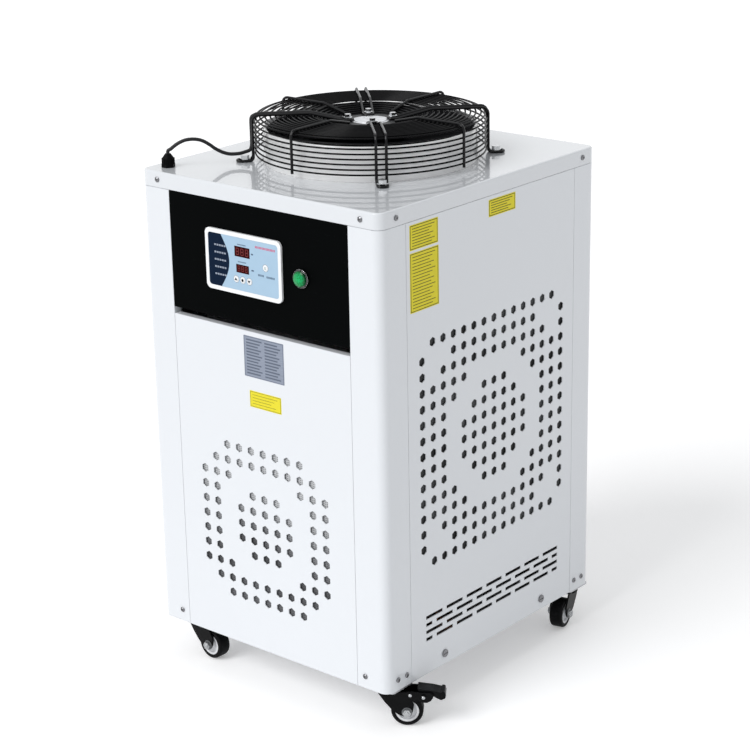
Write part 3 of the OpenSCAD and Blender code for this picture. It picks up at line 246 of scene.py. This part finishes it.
def lens_material(name):
    """Green moulded lens: faceted relief, painted glints brightest at each facet's middle, and painted shade
    toward its edge.
    """
    mat, tree, bsdf = new_material(name)
    link = tree.links.new
    coords = add(tree, "ShaderNodeTexCoord")
    cells = add(tree, "ShaderNodeTexVoronoi", Scale=420.0)
    link(coords.outputs["Object"], cells.inputs["Vector"])
    # Painted glints: each facet's colour is brightest green at its middle
    facet_glints = ramp(tree, cells.outputs[0], [(0.0, (0.02, 0.95, 0.45)), (0.25, (0.002, 0.50, 0.14)),
                                           (0.7, (0.0, 0.30, 0.07))])
    axis = at(BUTTON[0], 0, BUTTON[1])
    centre = add(tree, "ShaderNodeVectorMath", operation="MULTIPLY_ADD")
    centre.inputs[1].default_value = (1, 0, 1)
    centre.inputs[2].default_value = (-axis.x, 0, -axis.z)
    link(coords.outputs["Object"], centre.inputs[0])
    radius = add(tree, "ShaderNodeVectorMath", operation="LENGTH")
    link(centre.outputs[0], radius.inputs[0])
    outward = add(tree, "ShaderNodeMapRange")
    outward.inputs["From Max"].default_value = LENS_RADIUS
    link(radius.outputs["Value"], outward.inputs["Value"])
    # Painted shade: the lens colour darkens toward its edge
    rim_shade = ramp(tree, outward.outputs[0], [(0.1, (1, 1, 1)), (0.7, (0.75, 0.75, 0.75)),
                                          (0.97, (0.25, 0.25, 0.25))])
    shade = add(tree, "ShaderNodeMix", data_type="RGBA", blend_type="MULTIPLY")
    shade.inputs[0].default_value = 1.0
    link(facet_glints.outputs[0], shade.inputs[6])
    link(rim_shade.outputs[0], shade.inputs[7])
    link(shade.outputs[2], bsdf.inputs["Base Color"])
    relief = add(tree, "ShaderNodeBump", Strength=0.4, Distance=0.0004)
    link(cells.outputs[0], relief.inputs["Height"])
    link(relief.outputs[0], bsdf.inputs["Normal"])
    bsdf.inputs["Roughness"].default_value = 0.12
    bsdf.inputs["Specular IOR Level"].default_value = 0.12
    bsdf.inputs["Coat Weight"].default_value = 0.25
    bsdf.inputs["Coat Roughness"].default_value = 0.03
    return mat


def paint_inner_shade(mat, inner_shade_colour):
    """Give the faces of a round piece that look toward the cabinet's middle another colour, as painted shade.
    """
    tree = mat.node_tree
    link = tree.links.new
    base = tree.nodes["Principled BSDF"].inputs["Base Color"]
    coords = add(tree, "ShaderNodeTexCoord")
    from_axis = add(tree, "ShaderNodeVectorMath", operation="MULTIPLY_ADD")
    from_axis.inputs[1].default_value = (1, 1, 0)
    from_axis.inputs[2].default_value = (-CAB.x, -CAB.y, 0)
    link(coords.outputs["Object"], from_axis.inputs[0])
    facing_out = add(tree, "ShaderNodeVectorMath", operation="DOT_PRODUCT")
    link(from_axis.outputs[0], facing_out.inputs[0])
    link(coords.outputs["Normal"], facing_out.inputs[1])
    outside = add(tree, "ShaderNodeMath", operation="GREATER_THAN")
    outside.inputs[1].default_value = INWARD
    link(facing_out.outputs["Value"], outside.inputs[0])
    two_tone = add(tree, "ShaderNodeMix", data_type="RGBA")
    two_tone.inputs[6].default_value = (*inner_shade_colour, 1)
    link(outside.outputs[0], two_tone.inputs[0])
    link(base.links[0].from_socket, two_tone.inputs[7])
    link(two_tone.outputs[2], base)


# Where the front filter lies, and how far out the side filters begin, in the row frame
FRONT_FILTER_LOW, FRONT_FILTER_HIGH = at(0, 0, 80).z, at(0, 0, 340).z
SIDE_FILTER_X = 0.19
# How far noise moves the front filter's painted light and shade in all, as a share of its height
FILTER_WANDER = 0.7
# The push button's lens, in metres
LENS_RADIUS = 0.012
# Radius times the part of a face's normal that looks outward, below which a face looks inward
INWARD = -0.02
WHITE = (0.79, 0.815, 0.85)
finishes = {
    "white_paint": finish_of("white_paint", WHITE, 0.28, coat=0.6, coat_rough=0.06, spread=0.004,
                             scale=2.0, bump=0.04, bump_scale=900.0, rough_spread=0.02, edge=0.0012),
    "galvanised_sheet": brushed("galvanised_sheet", (0.55, 0.56, 0.58), 0.4, "X"),
    "black_paint": finish_of("black_paint", (0.0016, 0.002, 0.0021), 0.5, bump=0.1, edge=0.0008,
                             specular=0.012),
    "filter_mesh": mesh_filter("filter_mesh"),
    "white_plastic": finish_of("white_plastic", (0.92, 0.93, 0.945), 0.35, spread=0.01, bump=0.05,
                               edge=0.0006),
    "blue_overlay": finish_of("blue_overlay", (0.39, 0.56, 0.72), 0.3, spread=0.02, bump=0.05),
    "red_window": finish_of("red_window", (0.032, 0.002, 0.003), 0.3, specular=0.02),
    "black_plastic": finish_of("black_plastic", (0.003, 0.003, 0.0034), 0.42, bump=0.15, edge=0.0004,
                               specular=0.05),
    "green_lens": lens_material("green_lens"),
    "white_collar": finish_of("white_collar", (1.0, 1.0, 1.0), 0.25, coat=1.0, spread=0.005, edge=0.0006),
    "black_wire": finish_of("black_wire", (0.004, 0.004, 0.005), 0.22, spread=0.2, bump=0.05, specular=0.2),
    "motor_aluminium": finish_of("motor_aluminium", (0.02, 0.02, 0.022), 0.4, metallic=0.3, bump=0.3,
                                 bump_scale=400.0, specular=0.2),
    "black_enamel": finish_of("black_enamel", (0.002, 0.002, 0.0025), 0.5, spread=0.2, bump=0.08,
                              specular=0.02),
    "chrome_fastener": finish_of("chrome_fastener", (0.62, 0.63, 0.64), 0.16, metallic=1.0, spread=0.08,
                                 scale=400.0),
    "cable_rubber": finish_of("cable_rubber", (0.008, 0.008, 0.009), 0.42, bump=0.2, bump_scale=1200.0,
                              specular=0.3),
    "fin_aluminium": brushed("fin_aluminium", (0.55, 0.56, 0.57), 0.35, "Z"),
    "stainless": brushed("stainless", (0.56, 0.56, 0.55), 0.28, "Z"),
    "ivory_plastic": finish_of("ivory_plastic", (0.62, 0.60, 0.52), 0.5, bump=0.15),
    "pump_blue": finish_of("pump_blue", (0.03, 0.08, 0.22), 0.4, coat=0.3, bump=0.15, edge=0.0006),
    "copper": brushed("copper", (0.62, 0.29, 0.17), 0.3, "Z"),
    "grey_plastic": finish_of("grey_plastic", (0.42, 0.43, 0.44), 0.5, bump=0.15),
    "brass_fitting": brushed("brass_fitting", (0.62, 0.44, 0.17), 0.26, "Y"),
    "clear_gauge": finish_of("clear_gauge", (0.55, 0.60, 0.62), 0.15, coat=1.0),
    "zinc_plate": brushed("zinc_plate", (0.50, 0.51, 0.53), 0.34, "X"),
    "black_steel": finish_of("black_steel", (0.002, 0.002, 0.0024), 0.3, coat=0.04, coat_rough=0.12,
                             spread=0.2, bump=0.06, edge=0.0005, specular=0.08),
    "grey_hub": finish_of("grey_hub", (0.80, 0.81, 0.83), 0.38, bump=0.1, edge=0.0004),
    "tyre_rubber": finish_of("tyre_rubber", (0.0035, 0.0035, 0.004), 0.5, bump=0.25, bump_scale=500.0,
                             specular=0.08),
}
for part in frame["record"]["subparts"]:
    mesh = nodes[part["node"]].data
    mesh.materials.clear()
    mesh.materials.append(finishes[part["material_slot"]])

# The cover is glossier than the panels, their screws are darker than the other hardware as a painted dark
# reflection, the guard's rings are duller than its arms, and the collar is white outside with painted shade
# on its inside
special = {
    "top_cover": finish_of("gloss_cover", tint(WHITE, 0.945), 0.25, coat=1.0, coat_rough=0.015, spread=0.008,
                           scale=6.0, edge=0.0012),
    # Painted dark reflection: the panel screws' metal is darkened to stand in for dark surroundings seen in
    # them
    "panel_screws": finish_of("dark_screw", (0.21, 0.21, 0.22), 0.24, metallic=1.0, spread=0.1, scale=400.0),
    "fan_guard": finish_of("ring_black", (0.003, 0.003, 0.0035), 0.25, spread=0.2, bump=0.05, specular=0.07),
}
for node_name, finish in special.items():
    nodes[node_name].data.materials[0] = finish
# Painted shade on the collar's inside: its inward-looking faces turn near black
paint_inner_shade(finishes["white_collar"], (0.03, 0.03, 0.033))


# Mesh helpers
def place(name, bm, material, body="cabinet", slot=None, smooth=False):
    """Turn the shapes in a bmesh into a piece that rides a body."""
    bmesh.ops.recalc_face_normals(bm, faces=bm.faces)
    mesh = bpy.data.meshes.new(name)
    bm.normal_update()
    bm.to_mesh(mesh)
    bm.free()
    for face in mesh.polygons:
        face.use_smooth = smooth
    obj = bpy.data.objects.new(name, mesh)
    bpy.context.scene.collection.objects.link(obj)
    mesh.materials.append(material)
    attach(obj, body)


def rounded_outline(w, h, r, steps=6):
    """The corner points of a rectangle with round corners."""
    points = []
    for cx, cy, start in ((w / 2 - r, h / 2 - r, 0), (-w / 2 + r, h / 2 - r, 90),
                          (-w / 2 + r, -h / 2 + r, 180), (w / 2 - r, -h / 2 + r, 270)):
        for k in range(steps + 1):
            a = math.radians(start + 90 * k / steps)
            points.append((cx + r * math.cos(a), cy + r * math.sin(a)))
    return points


def on_front(x, z, out):
    """Cabinet point from x, z on the front face and a distance outward."""
    return at(x, -HALF_D / MM - out, z)


def on_right(y, z, out):
    """Cabinet point from y, z on the right face and a distance outward."""
    return at(HALF_W / MM + out, y, z)


def add_slab(bm, face, outline, centre, low, high):
    """A flat shape on a face, open on its hidden side: face maps (u, v, out) to a point."""
    rings = [[bm.verts.new(face(centre[0] + u, centre[1] + v, d)) for u, v in outline] for d in (low, high)]
    bm.faces.new(rings[1])
    n = len(outline)
    for i in range(n):
        bm.faces.new((rings[0][i], rings[0][(i + 1) % n], rings[1][(i + 1) % n], rings[1][i]))


def slab(name, face, outline, centre, low, high, material, **more):
    """One outline standing on a face, as one piece."""
    bm = bmesh.new()
    add_slab(bm, face, outline, centre, low, high)
    place(name, bm, material, **more)


def bars(name, face, boxes, low, high, material):
    """Several rectangles (u, v, width, height) as one piece."""
    bm = bmesh.new()
    for u, v, w, h in boxes:
        corners = [(w / 2, h / 2), (-w / 2, h / 2), (-w / 2, -h / 2), (w / 2, -h / 2)]
        add_slab(bm, face, corners, (u, v), low, high)
    place(name, bm, material)


# Printed and stuck-on panels: blank or with plain stripes, and no lettering
yellow = finish_of("label_yellow", (0.82, 0.72, 0.035), 0.4, spread=0.03, scale=60.0, bump=0.04,
                   specular=0.2)
ink = finish_of("label_ink", (0.10, 0.09, 0.012), 0.5, specular=0.2)
plate_grey = brushed("plate_grey", (0.31, 0.345, 0.425), 0.38, "X")
plate_ink = finish_of("plate_ink", (0.12, 0.145, 0.195), 0.5, specular=0.2)
LABEL_CORNER = 1.2
# Heights above the sheet: a label's underside, its face, and the face of what is printed on it
LABEL_LOW, LABEL_FACE, LABEL_PRINT = 0.02, 0.18, 0.22
# Free space round the stripes, the longest stripe's share of its room, and how much shorter the shortest is
STRIPE_GAP = 4
STRIPE_LONGEST, STRIPE_UNEVEN = 0.96, 0.24


def label(name, face, u0, u1, v0, v1, material, stripe_material, rows, columns=1, line=1.1, margin=1.9,
          stripe=1.1):
    """A rectangular label with a frame line and plain stripes of uneven length."""
    w, h = u1 - u0, v1 - v0
    centre = ((u0 + u1) / 2, (v0 + v1) / 2)
    slab(name, face, rounded_outline(w, h, LABEL_CORNER), centre, LABEL_LOW, LABEL_FACE, material)
    frame_w, frame_h = w - 2 * margin, h - 2 * margin
    boxes = [(centre[0], centre[1] + s * frame_h / 2, frame_w + line, line) for s in (-1, 1)]
    boxes += [(centre[0] + s * frame_w / 2, centre[1], line, frame_h) for s in (-1, 1)]
    room = (frame_w - STRIPE_GAP) / columns - STRIPE_GAP
    for k in range(rows):
        v = centre[1] + frame_h / 2 - (k + 1) * frame_h / (rows + 1)
        for j in range(columns):
            length = room * (STRIPE_LONGEST - STRIPE_UNEVEN * ((k * 7 + 3 * j) % 5) / 4)
            start = centre[0] - frame_w / 2 + STRIPE_GAP + j * (room + STRIPE_GAP)
            boxes.append((start + length / 2, v, length, stripe))
    bars(name + "_lines", face, boxes, LABEL_FACE, LABEL_PRINT, stripe_material)


label("front_label", on_front, -25, 39.5, 408.4, 435, yellow, ink, 4, line=0.6, margin=1.6, stripe=0.6)
label("right_label_upper", on_right, -200.5, -135, 681.5, 719.3, yellow, ink, 7)
label("right_label_lower", on_right, -200.5, -134, 587.7, 677.5, yellow, ink, 17)
label("right_label_small", on_right, -13.4, 53.5, 692.2, 718.7, yellow, ink, 5)
label("rating_plate", on_front, -33.7, 47.5, 456.6, 521.6, plate_grey, plate_ink, 12, columns=2, line=0.8,
      margin=1.2, stripe=2.3)

# Controller overlay: navy field with an arched edge, on the light blue plate. Heights count from the sheets.
FACE_OUT = 3.7
NAVY_FACE = FACE_OUT + 0.06
navy = finish_of("overlay_navy", (0.005, 0.014, 0.036), 0.4, specular=0.03)
pale = finish_of("overlay_print", (0.30, 0.34, 0.42), 0.4, specular=0.2)
red_print = finish_of("overlay_red", (0.62, 0.10, 0.21), 0.4, specular=0.2)
note_ink = finish_of("overlay_note", (0.08, 0.125, 0.20), 0.4, specular=0.2)
disc_white = finish_of("overlay_disc", (0.80, 0.82, 0.83), 0.35, spread=0.01)
# The field's left, lower and upper edge, where its arc starts, how far it swells and leans and in how many
# steps, and its corners' radius
NAVY_LEFT, NAVY_LOW, NAVY_HIGH = -95.6, 592.2, 673.8
ARC_START, ARC_SWELL, ARC_LEAN, ARC_STEPS = -69.5, 17, 1.5, 12
NAVY_CORNER = 4.6
arc = []
for k in range(ARC_STEPS + 1):
    s = k / ARC_STEPS
    arc.append((ARC_START + ARC_SWELL * math.sin(math.pi * s) - ARC_LEAN * (1 - s),
                NAVY_LOW + (NAVY_HIGH - NAVY_LOW) * s))
quarter = [(NAVY_CORNER * (1 - math.sin(math.radians(a))), NAVY_CORNER * (1 - math.cos(math.radians(a))))
           for a in range(0, 91, 15)]
left = [(NAVY_LEFT + u, NAVY_HIGH - v) for u, v in quarter]
left += [(NAVY_LEFT + v, NAVY_LOW + u) for u, v in quarter]
slab("overlay_field", on_front, arc + left, (0, 0), FACE_OUT, NAVY_FACE, navy)
MARK_START, MARK_STEP, MARK_SIZE = (-81.5, 655.9), (4.9, -11.35), (3.7, 2.7)
bars("overlay_marks", on_front,
     [(MARK_START[0] + MARK_STEP[0] * i, MARK_START[1] + MARK_STEP[1] * k, *MARK_SIZE)
      for k in range(5) for i in range(5)],
     NAVY_FACE, NAVY_FACE + 0.04, pale)


def dashes(x, z, length, height, step):
    """A plain row of short blocks that fills a printed line's place."""
    count = round(length / step)
    return [(x + (i - (count - 1) / 2) * step, z, step * DASH_SHARE, height) for i in range(count)]


def round_outline(radius, sides):
    """The corner points of a disc."""
    return [(radius * math.cos(2 * math.pi * k / sides), radius * math.sin(2 * math.pi * k / sides))
            for k in range(sides)]


DASH_SHARE = 0.62
PRINT_FACE = FACE_OUT + 0.05
bars("overlay_heading", on_front, dashes(20.5, 664.8, 41, 3.4, 2.7), FACE_OUT, PRINT_FACE, red_print)
bars("overlay_notes", on_front,
     dashes(10.7, 622.6, 13, 3.2, 2.4) + dashes(30, 621.9, 16, 3.2, 2.4) + dashes(-27, 663.2, 17, 1.9, 1.9)
     + dashes(-27.2, 636.6, 17, 1.9, 1.9) + [(-6, 652.1, 4, 2.2), (-5.9, 627.1, 5, 2.2)],
     FACE_OUT, PRINT_FACE, note_ink)
# Under each key a thin ring, and a white disc that leaves only its edge to be seen
KEYS = {"key_1": (-40, 608.8), "key_2": (-26.6, 608.8), "key_3": (-13.2, 608.8), "key_4": (20.4, 635.5)}
KEY_LAYERS = (("ring_", 5.7, note_ink), ("disc_", 5.3, disc_white))
LAYER_T = 0.03
for key_name, spot in KEYS.items():
    for k, (part, radius, finish) in enumerate(KEY_LAYERS):
        low = FACE_OUT + k * LAYER_T
        slab(part + key_name, on_front, round_outline(radius, 32), spot, low, low + LAYER_T, finish)

# Segments in the two display windows, all dimly lit
glow, _, glow_bsdf = new_material("segment_red")
glow_bsdf.inputs["Base Color"].default_value = (0.12, 0.006, 0.006, 1)
glow_bsdf.inputs["Emission Color"].default_value = (1.0, 0.03, 0.02, 1)
glow_bsdf.inputs["Emission Strength"].default_value = 0.075
WINDOW_OUT = 3.65
PLACES = 3
SEGMENT_SHARE = 0.9


def segments(name, centre_x, centre_z, size):
    """The seven segments of each place in a display, at a digit height."""
    boxes = []
    step = size * 0.95
    w, h, t = size * 0.5, size / 2, size * 0.11
    spots = [(0, h, w, t), (w / 2, h / 2, t, h), (w / 2, -h / 2, t, h), (0, -h, w, t),
             (-w / 2, -h / 2, t, h), (-w / 2, h / 2, t, h), (0, 0, w, t)]
    for i in range(PLACES):
        x = centre_x + (i - (PLACES - 1) / 2) * step
        boxes += [(x + u, centre_z + v, long * SEGMENT_SHARE, high * SEGMENT_SHARE)
                  for u, v, long, high in spots]
    bars(name, on_front, boxes, WINDOW_OUT, FACE_OUT, glow)


segments("display_upper", -26.5, 652.2, 10)
segments("display_lower", -26.5, 626.1, 7.8)

# Bright hardware on the castors. Each castor: place across and along the cabinet, and heading in degrees.
CASTORS = {"fr": (212, -228, 36), "fl": (-188, -228, -2), "rr": (212, 238, -76), "rl": (-188, 238, 200)}
BRAKED = ("fr", "rl")
# Distance of the fork's outer faces from its middle, and places on them: how far behind the swivel axis, and
# how far up from the cabinet's lower edge
FORK_FACE = 15.2
AXLE = (26, -43)
PEDAL_PIN = (51.4, -17)
ARM_RIVET = (31, -14.5)
# Profiles as (radius, distance out), and their sides
NUT = ([(6.75, 0.7), (6.75, 5.0), (6.1, 5.5)], 6)
BOLT_END = ([(3.4, 5.4), (3.4, 6.2), (2.6, 6.7)], 24)
WASHER = ([(8.2, 0.02), (8.2, 0.5), (7.7, 0.75), (5.5, 0.75)], 32)
# How far out each rivet's head begins
RIVETS = {PEDAL_PIN: 1.95, ARM_RIVET: 0.02}
# An axis with more than this much of its length upward counts as upright
UPRIGHT = 0.9


def add_turned(bm, origin, axis, profile, sides, ring=False):
    """A turned shape about an axis: profile is (radius, distance along it), closed on itself for a ring."""
    axis = Vector(axis).normalized()
    if abs(axis.z) > UPRIGHT:
        across = axis.orthogonal().normalized()
    else:
        across = axis.cross(Vector((0, 0, 1))).normalized()
    up = axis.cross(across)
    angles = [2 * math.pi * k / sides for k in range(sides)]
    turns = [across * math.cos(a) + up * math.sin(a) for a in angles]
    rings = [[bm.verts.new(origin + (axis * along + way * radius) * MM) for way in turns]
             for radius, along in profile]
    for low, high in zip(rings, rings[1:] + rings[:1] if ring else rings[1:]):
        for k in range(sides):
            bm.faces.new((low[k], low[(k + 1) % sides], high[(k + 1) % sides], high[k]))
    if not ring:
        bm.faces.new(rings[-1])
        bm.faces.new(list(reversed(rings[0])))


def add_on_fork(bm, castor, spot, side, profile, sides):
    """A turned shape on the outer face of a castor's fork, on one side of it."""
    place_x, place_y, heading = castor
    c, s = math.cos(math.radians(heading)), math.sin(math.radians(heading))
    x, y, z = spot[0], side * FORK_FACE, spot[1]
    origin = at(place_x + x * c - y * s, place_y + x * s + y * c, z)
    add_turned(bm, origin, Vector((-s, c, 0)) * side, profile, sides)


bolt_zinc = finish_of("bolt_zinc", (0.42, 0.43, 0.44), 0.25, metallic=0.8, spread=0.15, scale=400.0)
washer_grey = finish_of("washer_grey", (0.15, 0.155, 0.16), 0.3, metallic=0.8, spread=0.1, scale=400.0)
for corner_name, castor in CASTORS.items():
    bm = bmesh.new()
    for side in (-1, 1):
        add_on_fork(bm, castor, AXLE, side, *NUT)
        add_on_fork(bm, castor, AXLE, side, *BOLT_END)
    if corner_name in BRAKED:
        for spot, reach in RIVETS.items():
            head = [(2.7, reach), (2.6, reach + 0.5), (1.9, reach + 1.0), (0.8, reach + 1.2)]
            for side in (-1, 1):
                add_on_fork(bm, castor, spot, side, head, 24)
    place("castor_nuts_" + corner_name, bm, bolt_zinc, "swivel_" + corner_name, "chrome_fastener")
    bm = bmesh.new()
    for side in (-1, 1):
        add_on_fork(bm, castor, AXLE, side, *WASHER)
    place("castor_washers_" + corner_name, bm, washer_grey, "swivel_" + corner_name, "chrome_fastener")

# Bright cap in the middle of the fan's motor, with heights above the cover
bm = bmesh.new()
add_turned(bm, at(0, 0, TOP / MM), (0, 0, 1),
           [(29.6, 58.41), (29.6, 58.43), (25.8, 58.43), (25.6, 59.3), (24.8, 59.6)], 64)
cap_metal = finish_of("motor_cap", (0.74, 0.75, 0.77), 0.42, metallic=0.8, spread=0.16, scale=160.0)
place("motor_cap", bm, cap_metal)

# Bright rings on the push button's bezel
bm = bmesh.new()
for profile in ([(12.35, 3.35), (12.8, 3.35), (12.72, 3.65), (12.42, 3.65)],
                [(14.0, 3.38), (14.25, 3.46), (14.42, 3.2), (14.4, 2.9), (14.2, 2.8)]):
    add_turned(bm, on_front(*BUTTON, 0), (0, -1, 0), profile, 64, ring=True)
ring_chrome = finish_of("ring_chrome", (0.55, 0.55, 0.56), 0.12, metallic=1.0, spread=0.35, scale=260.0)
place("button_rings", bm, ring_chrome, smooth=True)

# Marks on the keys: two triangles, a dot and a bar
key_ink = finish_of("key_ink", (0.004, 0.004, 0.006), 0.5, specular=0.1)
key_grey = finish_of("key_grey", (0.35, 0.45, 0.42), 0.5, specular=0.2)
KEY_FACE = 4.72
triangle = [(0, 2.7), (-2.7, -1.8), (2.7, -1.8)]
dot = round_outline(2.3, 16)
bar = [(1.0, 2.4), (-1.0, 2.4), (-1.0, -2.4), (1.0, -2.4)]
for body, outline, finish in (("key_1", triangle, key_ink), ("key_2", dot, key_ink),
                              ("key_3", [(-u, -v) for u, v in triangle], key_ink), ("key_4", bar, key_grey)):
    slab("mark_" + body, on_front, outline, KEYS[body], KEY_FACE, KEY_FACE + 0.06, finish, body=body)

# Fan cable along its route from the motor to the gland, with heights above the cover
CABLE_ROUTE = [
    (-31.2, -31.2, 63), (-34.5, -34.5, 63), (-39, -39, 64.6), (-43, -43, 66.2), (-50, -50, 68.6),
    (-57, -57, 71.2), (-63, -63, 73), (-70, -70, 74.1), (-85, -85, 74.3), (-100, -100, 74.3),
    (-115, -115, 74.3), (-121, -121, 74.1), (-126.5, -126.5, 72.6), (-129.6, -129.6, 69.5),
    (-130.4, -130.4, 64), (-130.4, -130.4, 50), (-130.4, -130.4, 33), (-130.8, -130.8, 24),
    (-132.5, -133, 18), (-137, -140, 15.5), (-141, -146.5, 14), (-147, -156, 14), (-151, -162, 15),
    (-156.5, -170, 18.5), (-162.5, -179, 25), (-167, -185, 31), (-171, -192, 36.6), (-175, -198, 40),
    (-179, -205, 42), (-184, -211, 42.3), (-190, -216.3, 41), (-195.2, -221, 38.2), (-199.7, -225, 34.8),
    (-203.5, -228.2, 31.2), (-206.5, -231, 27.8), (-208.9, -233.2, 26.2), (-210, -234, 24),
    (-210, -234, 21.05),
]
CABLE_DIA = 5.5
route = [at(x, y, z + TOP / MM) for x, y, z in CABLE_ROUTE]
curve = bpy.data.curves.new("fan_lead", "CURVE")
curve.dimensions = "3D"
curve.bevel_depth = CABLE_DIA * MM / 2
curve.bevel_resolution = 4
curve.resolution_u = 6
spline = curve.splines.new("BEZIER")
spline.bezier_points.add(len(route) - 1)
for i, (knot, point) in enumerate(zip(spline.bezier_points, route)):
    before = route[max(i - 1, 0)]
    after = route[min(i + 1, len(route) - 1)]
    way = (after - before).normalized()
    knot.co = point
    knot.handle_left = point - way * (point - before).length / 3
    knot.handle_right = point + way * (after - point).length / 3
lead = bpy.data.objects.new("fan_lead", curve)
bpy.context.scene.collection.objects.link(lead)
curve.materials.append(finishes["cable_rubber"])
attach(lead, "cabinet")
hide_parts("fan_cable")


def seen_directly(tree):
    """1 for rays from the camera, also by way of metal or glass, and 0 for light that falls on the object."""
    rays = add(tree, "ShaderNodeLightPath")
    total = rays.outputs["Is Camera Ray"]
    for kind in ("Is Glossy Ray", "Is Transmission Ray"):
        join = add(tree, "ShaderNodeMath", operation="MAXIMUM")
        tree.links.new(total, join.inputs[0])
        tree.links.new(rays.outputs[kind], join.inputs[1])
        total = join.outputs[0]
    return total


# Floor and light
FLOOR = 12.0
FLOOR_DROP = 0.0005
FLOOR_LIFT = 0.27
floor_mat, floor_tree, floor_bsdf = new_material("floor")
floor_bsdf.inputs["Base Color"].default_value = (0.93, 0.93, 0.935, 1)
floor_bsdf.inputs["Roughness"].default_value = 0.9
lift = add(floor_tree, "ShaderNodeMath", operation="MULTIPLY")
lift.inputs[1].default_value = FLOOR_LIFT
floor_tree.links.new(seen_directly(floor_tree), lift.inputs[0])
floor_bsdf.inputs["Emission Color"].default_value = (1, 1, 1, 1)
floor_tree.links.new(lift.outputs[0], floor_bsdf.inputs["Emission Strength"])
bm = bmesh.new()
for u, v in ((-1, -1), (1, -1), (1, 1), (-1, 1)):
    bm.verts.new((u * FLOOR, v * FLOOR, -FLOOR_DROP))
bm.faces.new(bm.verts)
mesh = bpy.data.meshes.new("floor")
bm.to_mesh(mesh)
bm.free()
floor = bpy.data.objects.new("floor", mesh)
bpy.context.scene.collection.objects.link(floor)
mesh.materials.append(floor_mat)

AMBIENT = 0.55
world = bpy.data.worlds.new("world")
bpy.context.scene.world = world
world.use_nodes = True
sky = world.node_tree
sky.nodes.clear()
sky_out = sky.nodes.new("ShaderNodeOutputWorld")
background = sky.nodes.new("ShaderNodeBackground")
sky.links.new(background.outputs[0], sky_out.inputs[0])
bright = add(sky, "ShaderNodeMapRange")
bright.inputs["To Min"].default_value = AMBIENT
bright.inputs["To Max"].default_value = 1.0
sky.links.new(seen_directly(sky), bright.inputs["Value"])
sky.links.new(bright.outputs[0], background.inputs["Strength"])
background.inputs["Color"].default_value = (0.98, 0.99, 1.0, 1)


def sun(name, azimuth, elevation, strength, size):
    """A broad soft light. Azimuth 0 shines from the front, 90 from the right."""
    data = bpy.data.lights.new(name, "SUN")
    data.energy = strength
    data.angle = math.radians(size)
    obj = bpy.data.objects.new(name, data)
    a, e = math.radians(azimuth), math.radians(elevation)
    toward = Vector((math.sin(a) * math.cos(e), -math.cos(a) * math.cos(e), math.sin(e)))
    obj.rotation_euler = toward.to_track_quat("Z", "Y").to_euler()
    bpy.context.scene.collection.objects.link(obj)


sun("key", azimuth=-12, elevation=39, strength=1.68, size=35)

bpy.context.scene.view_settings.view_transform = "Standard"
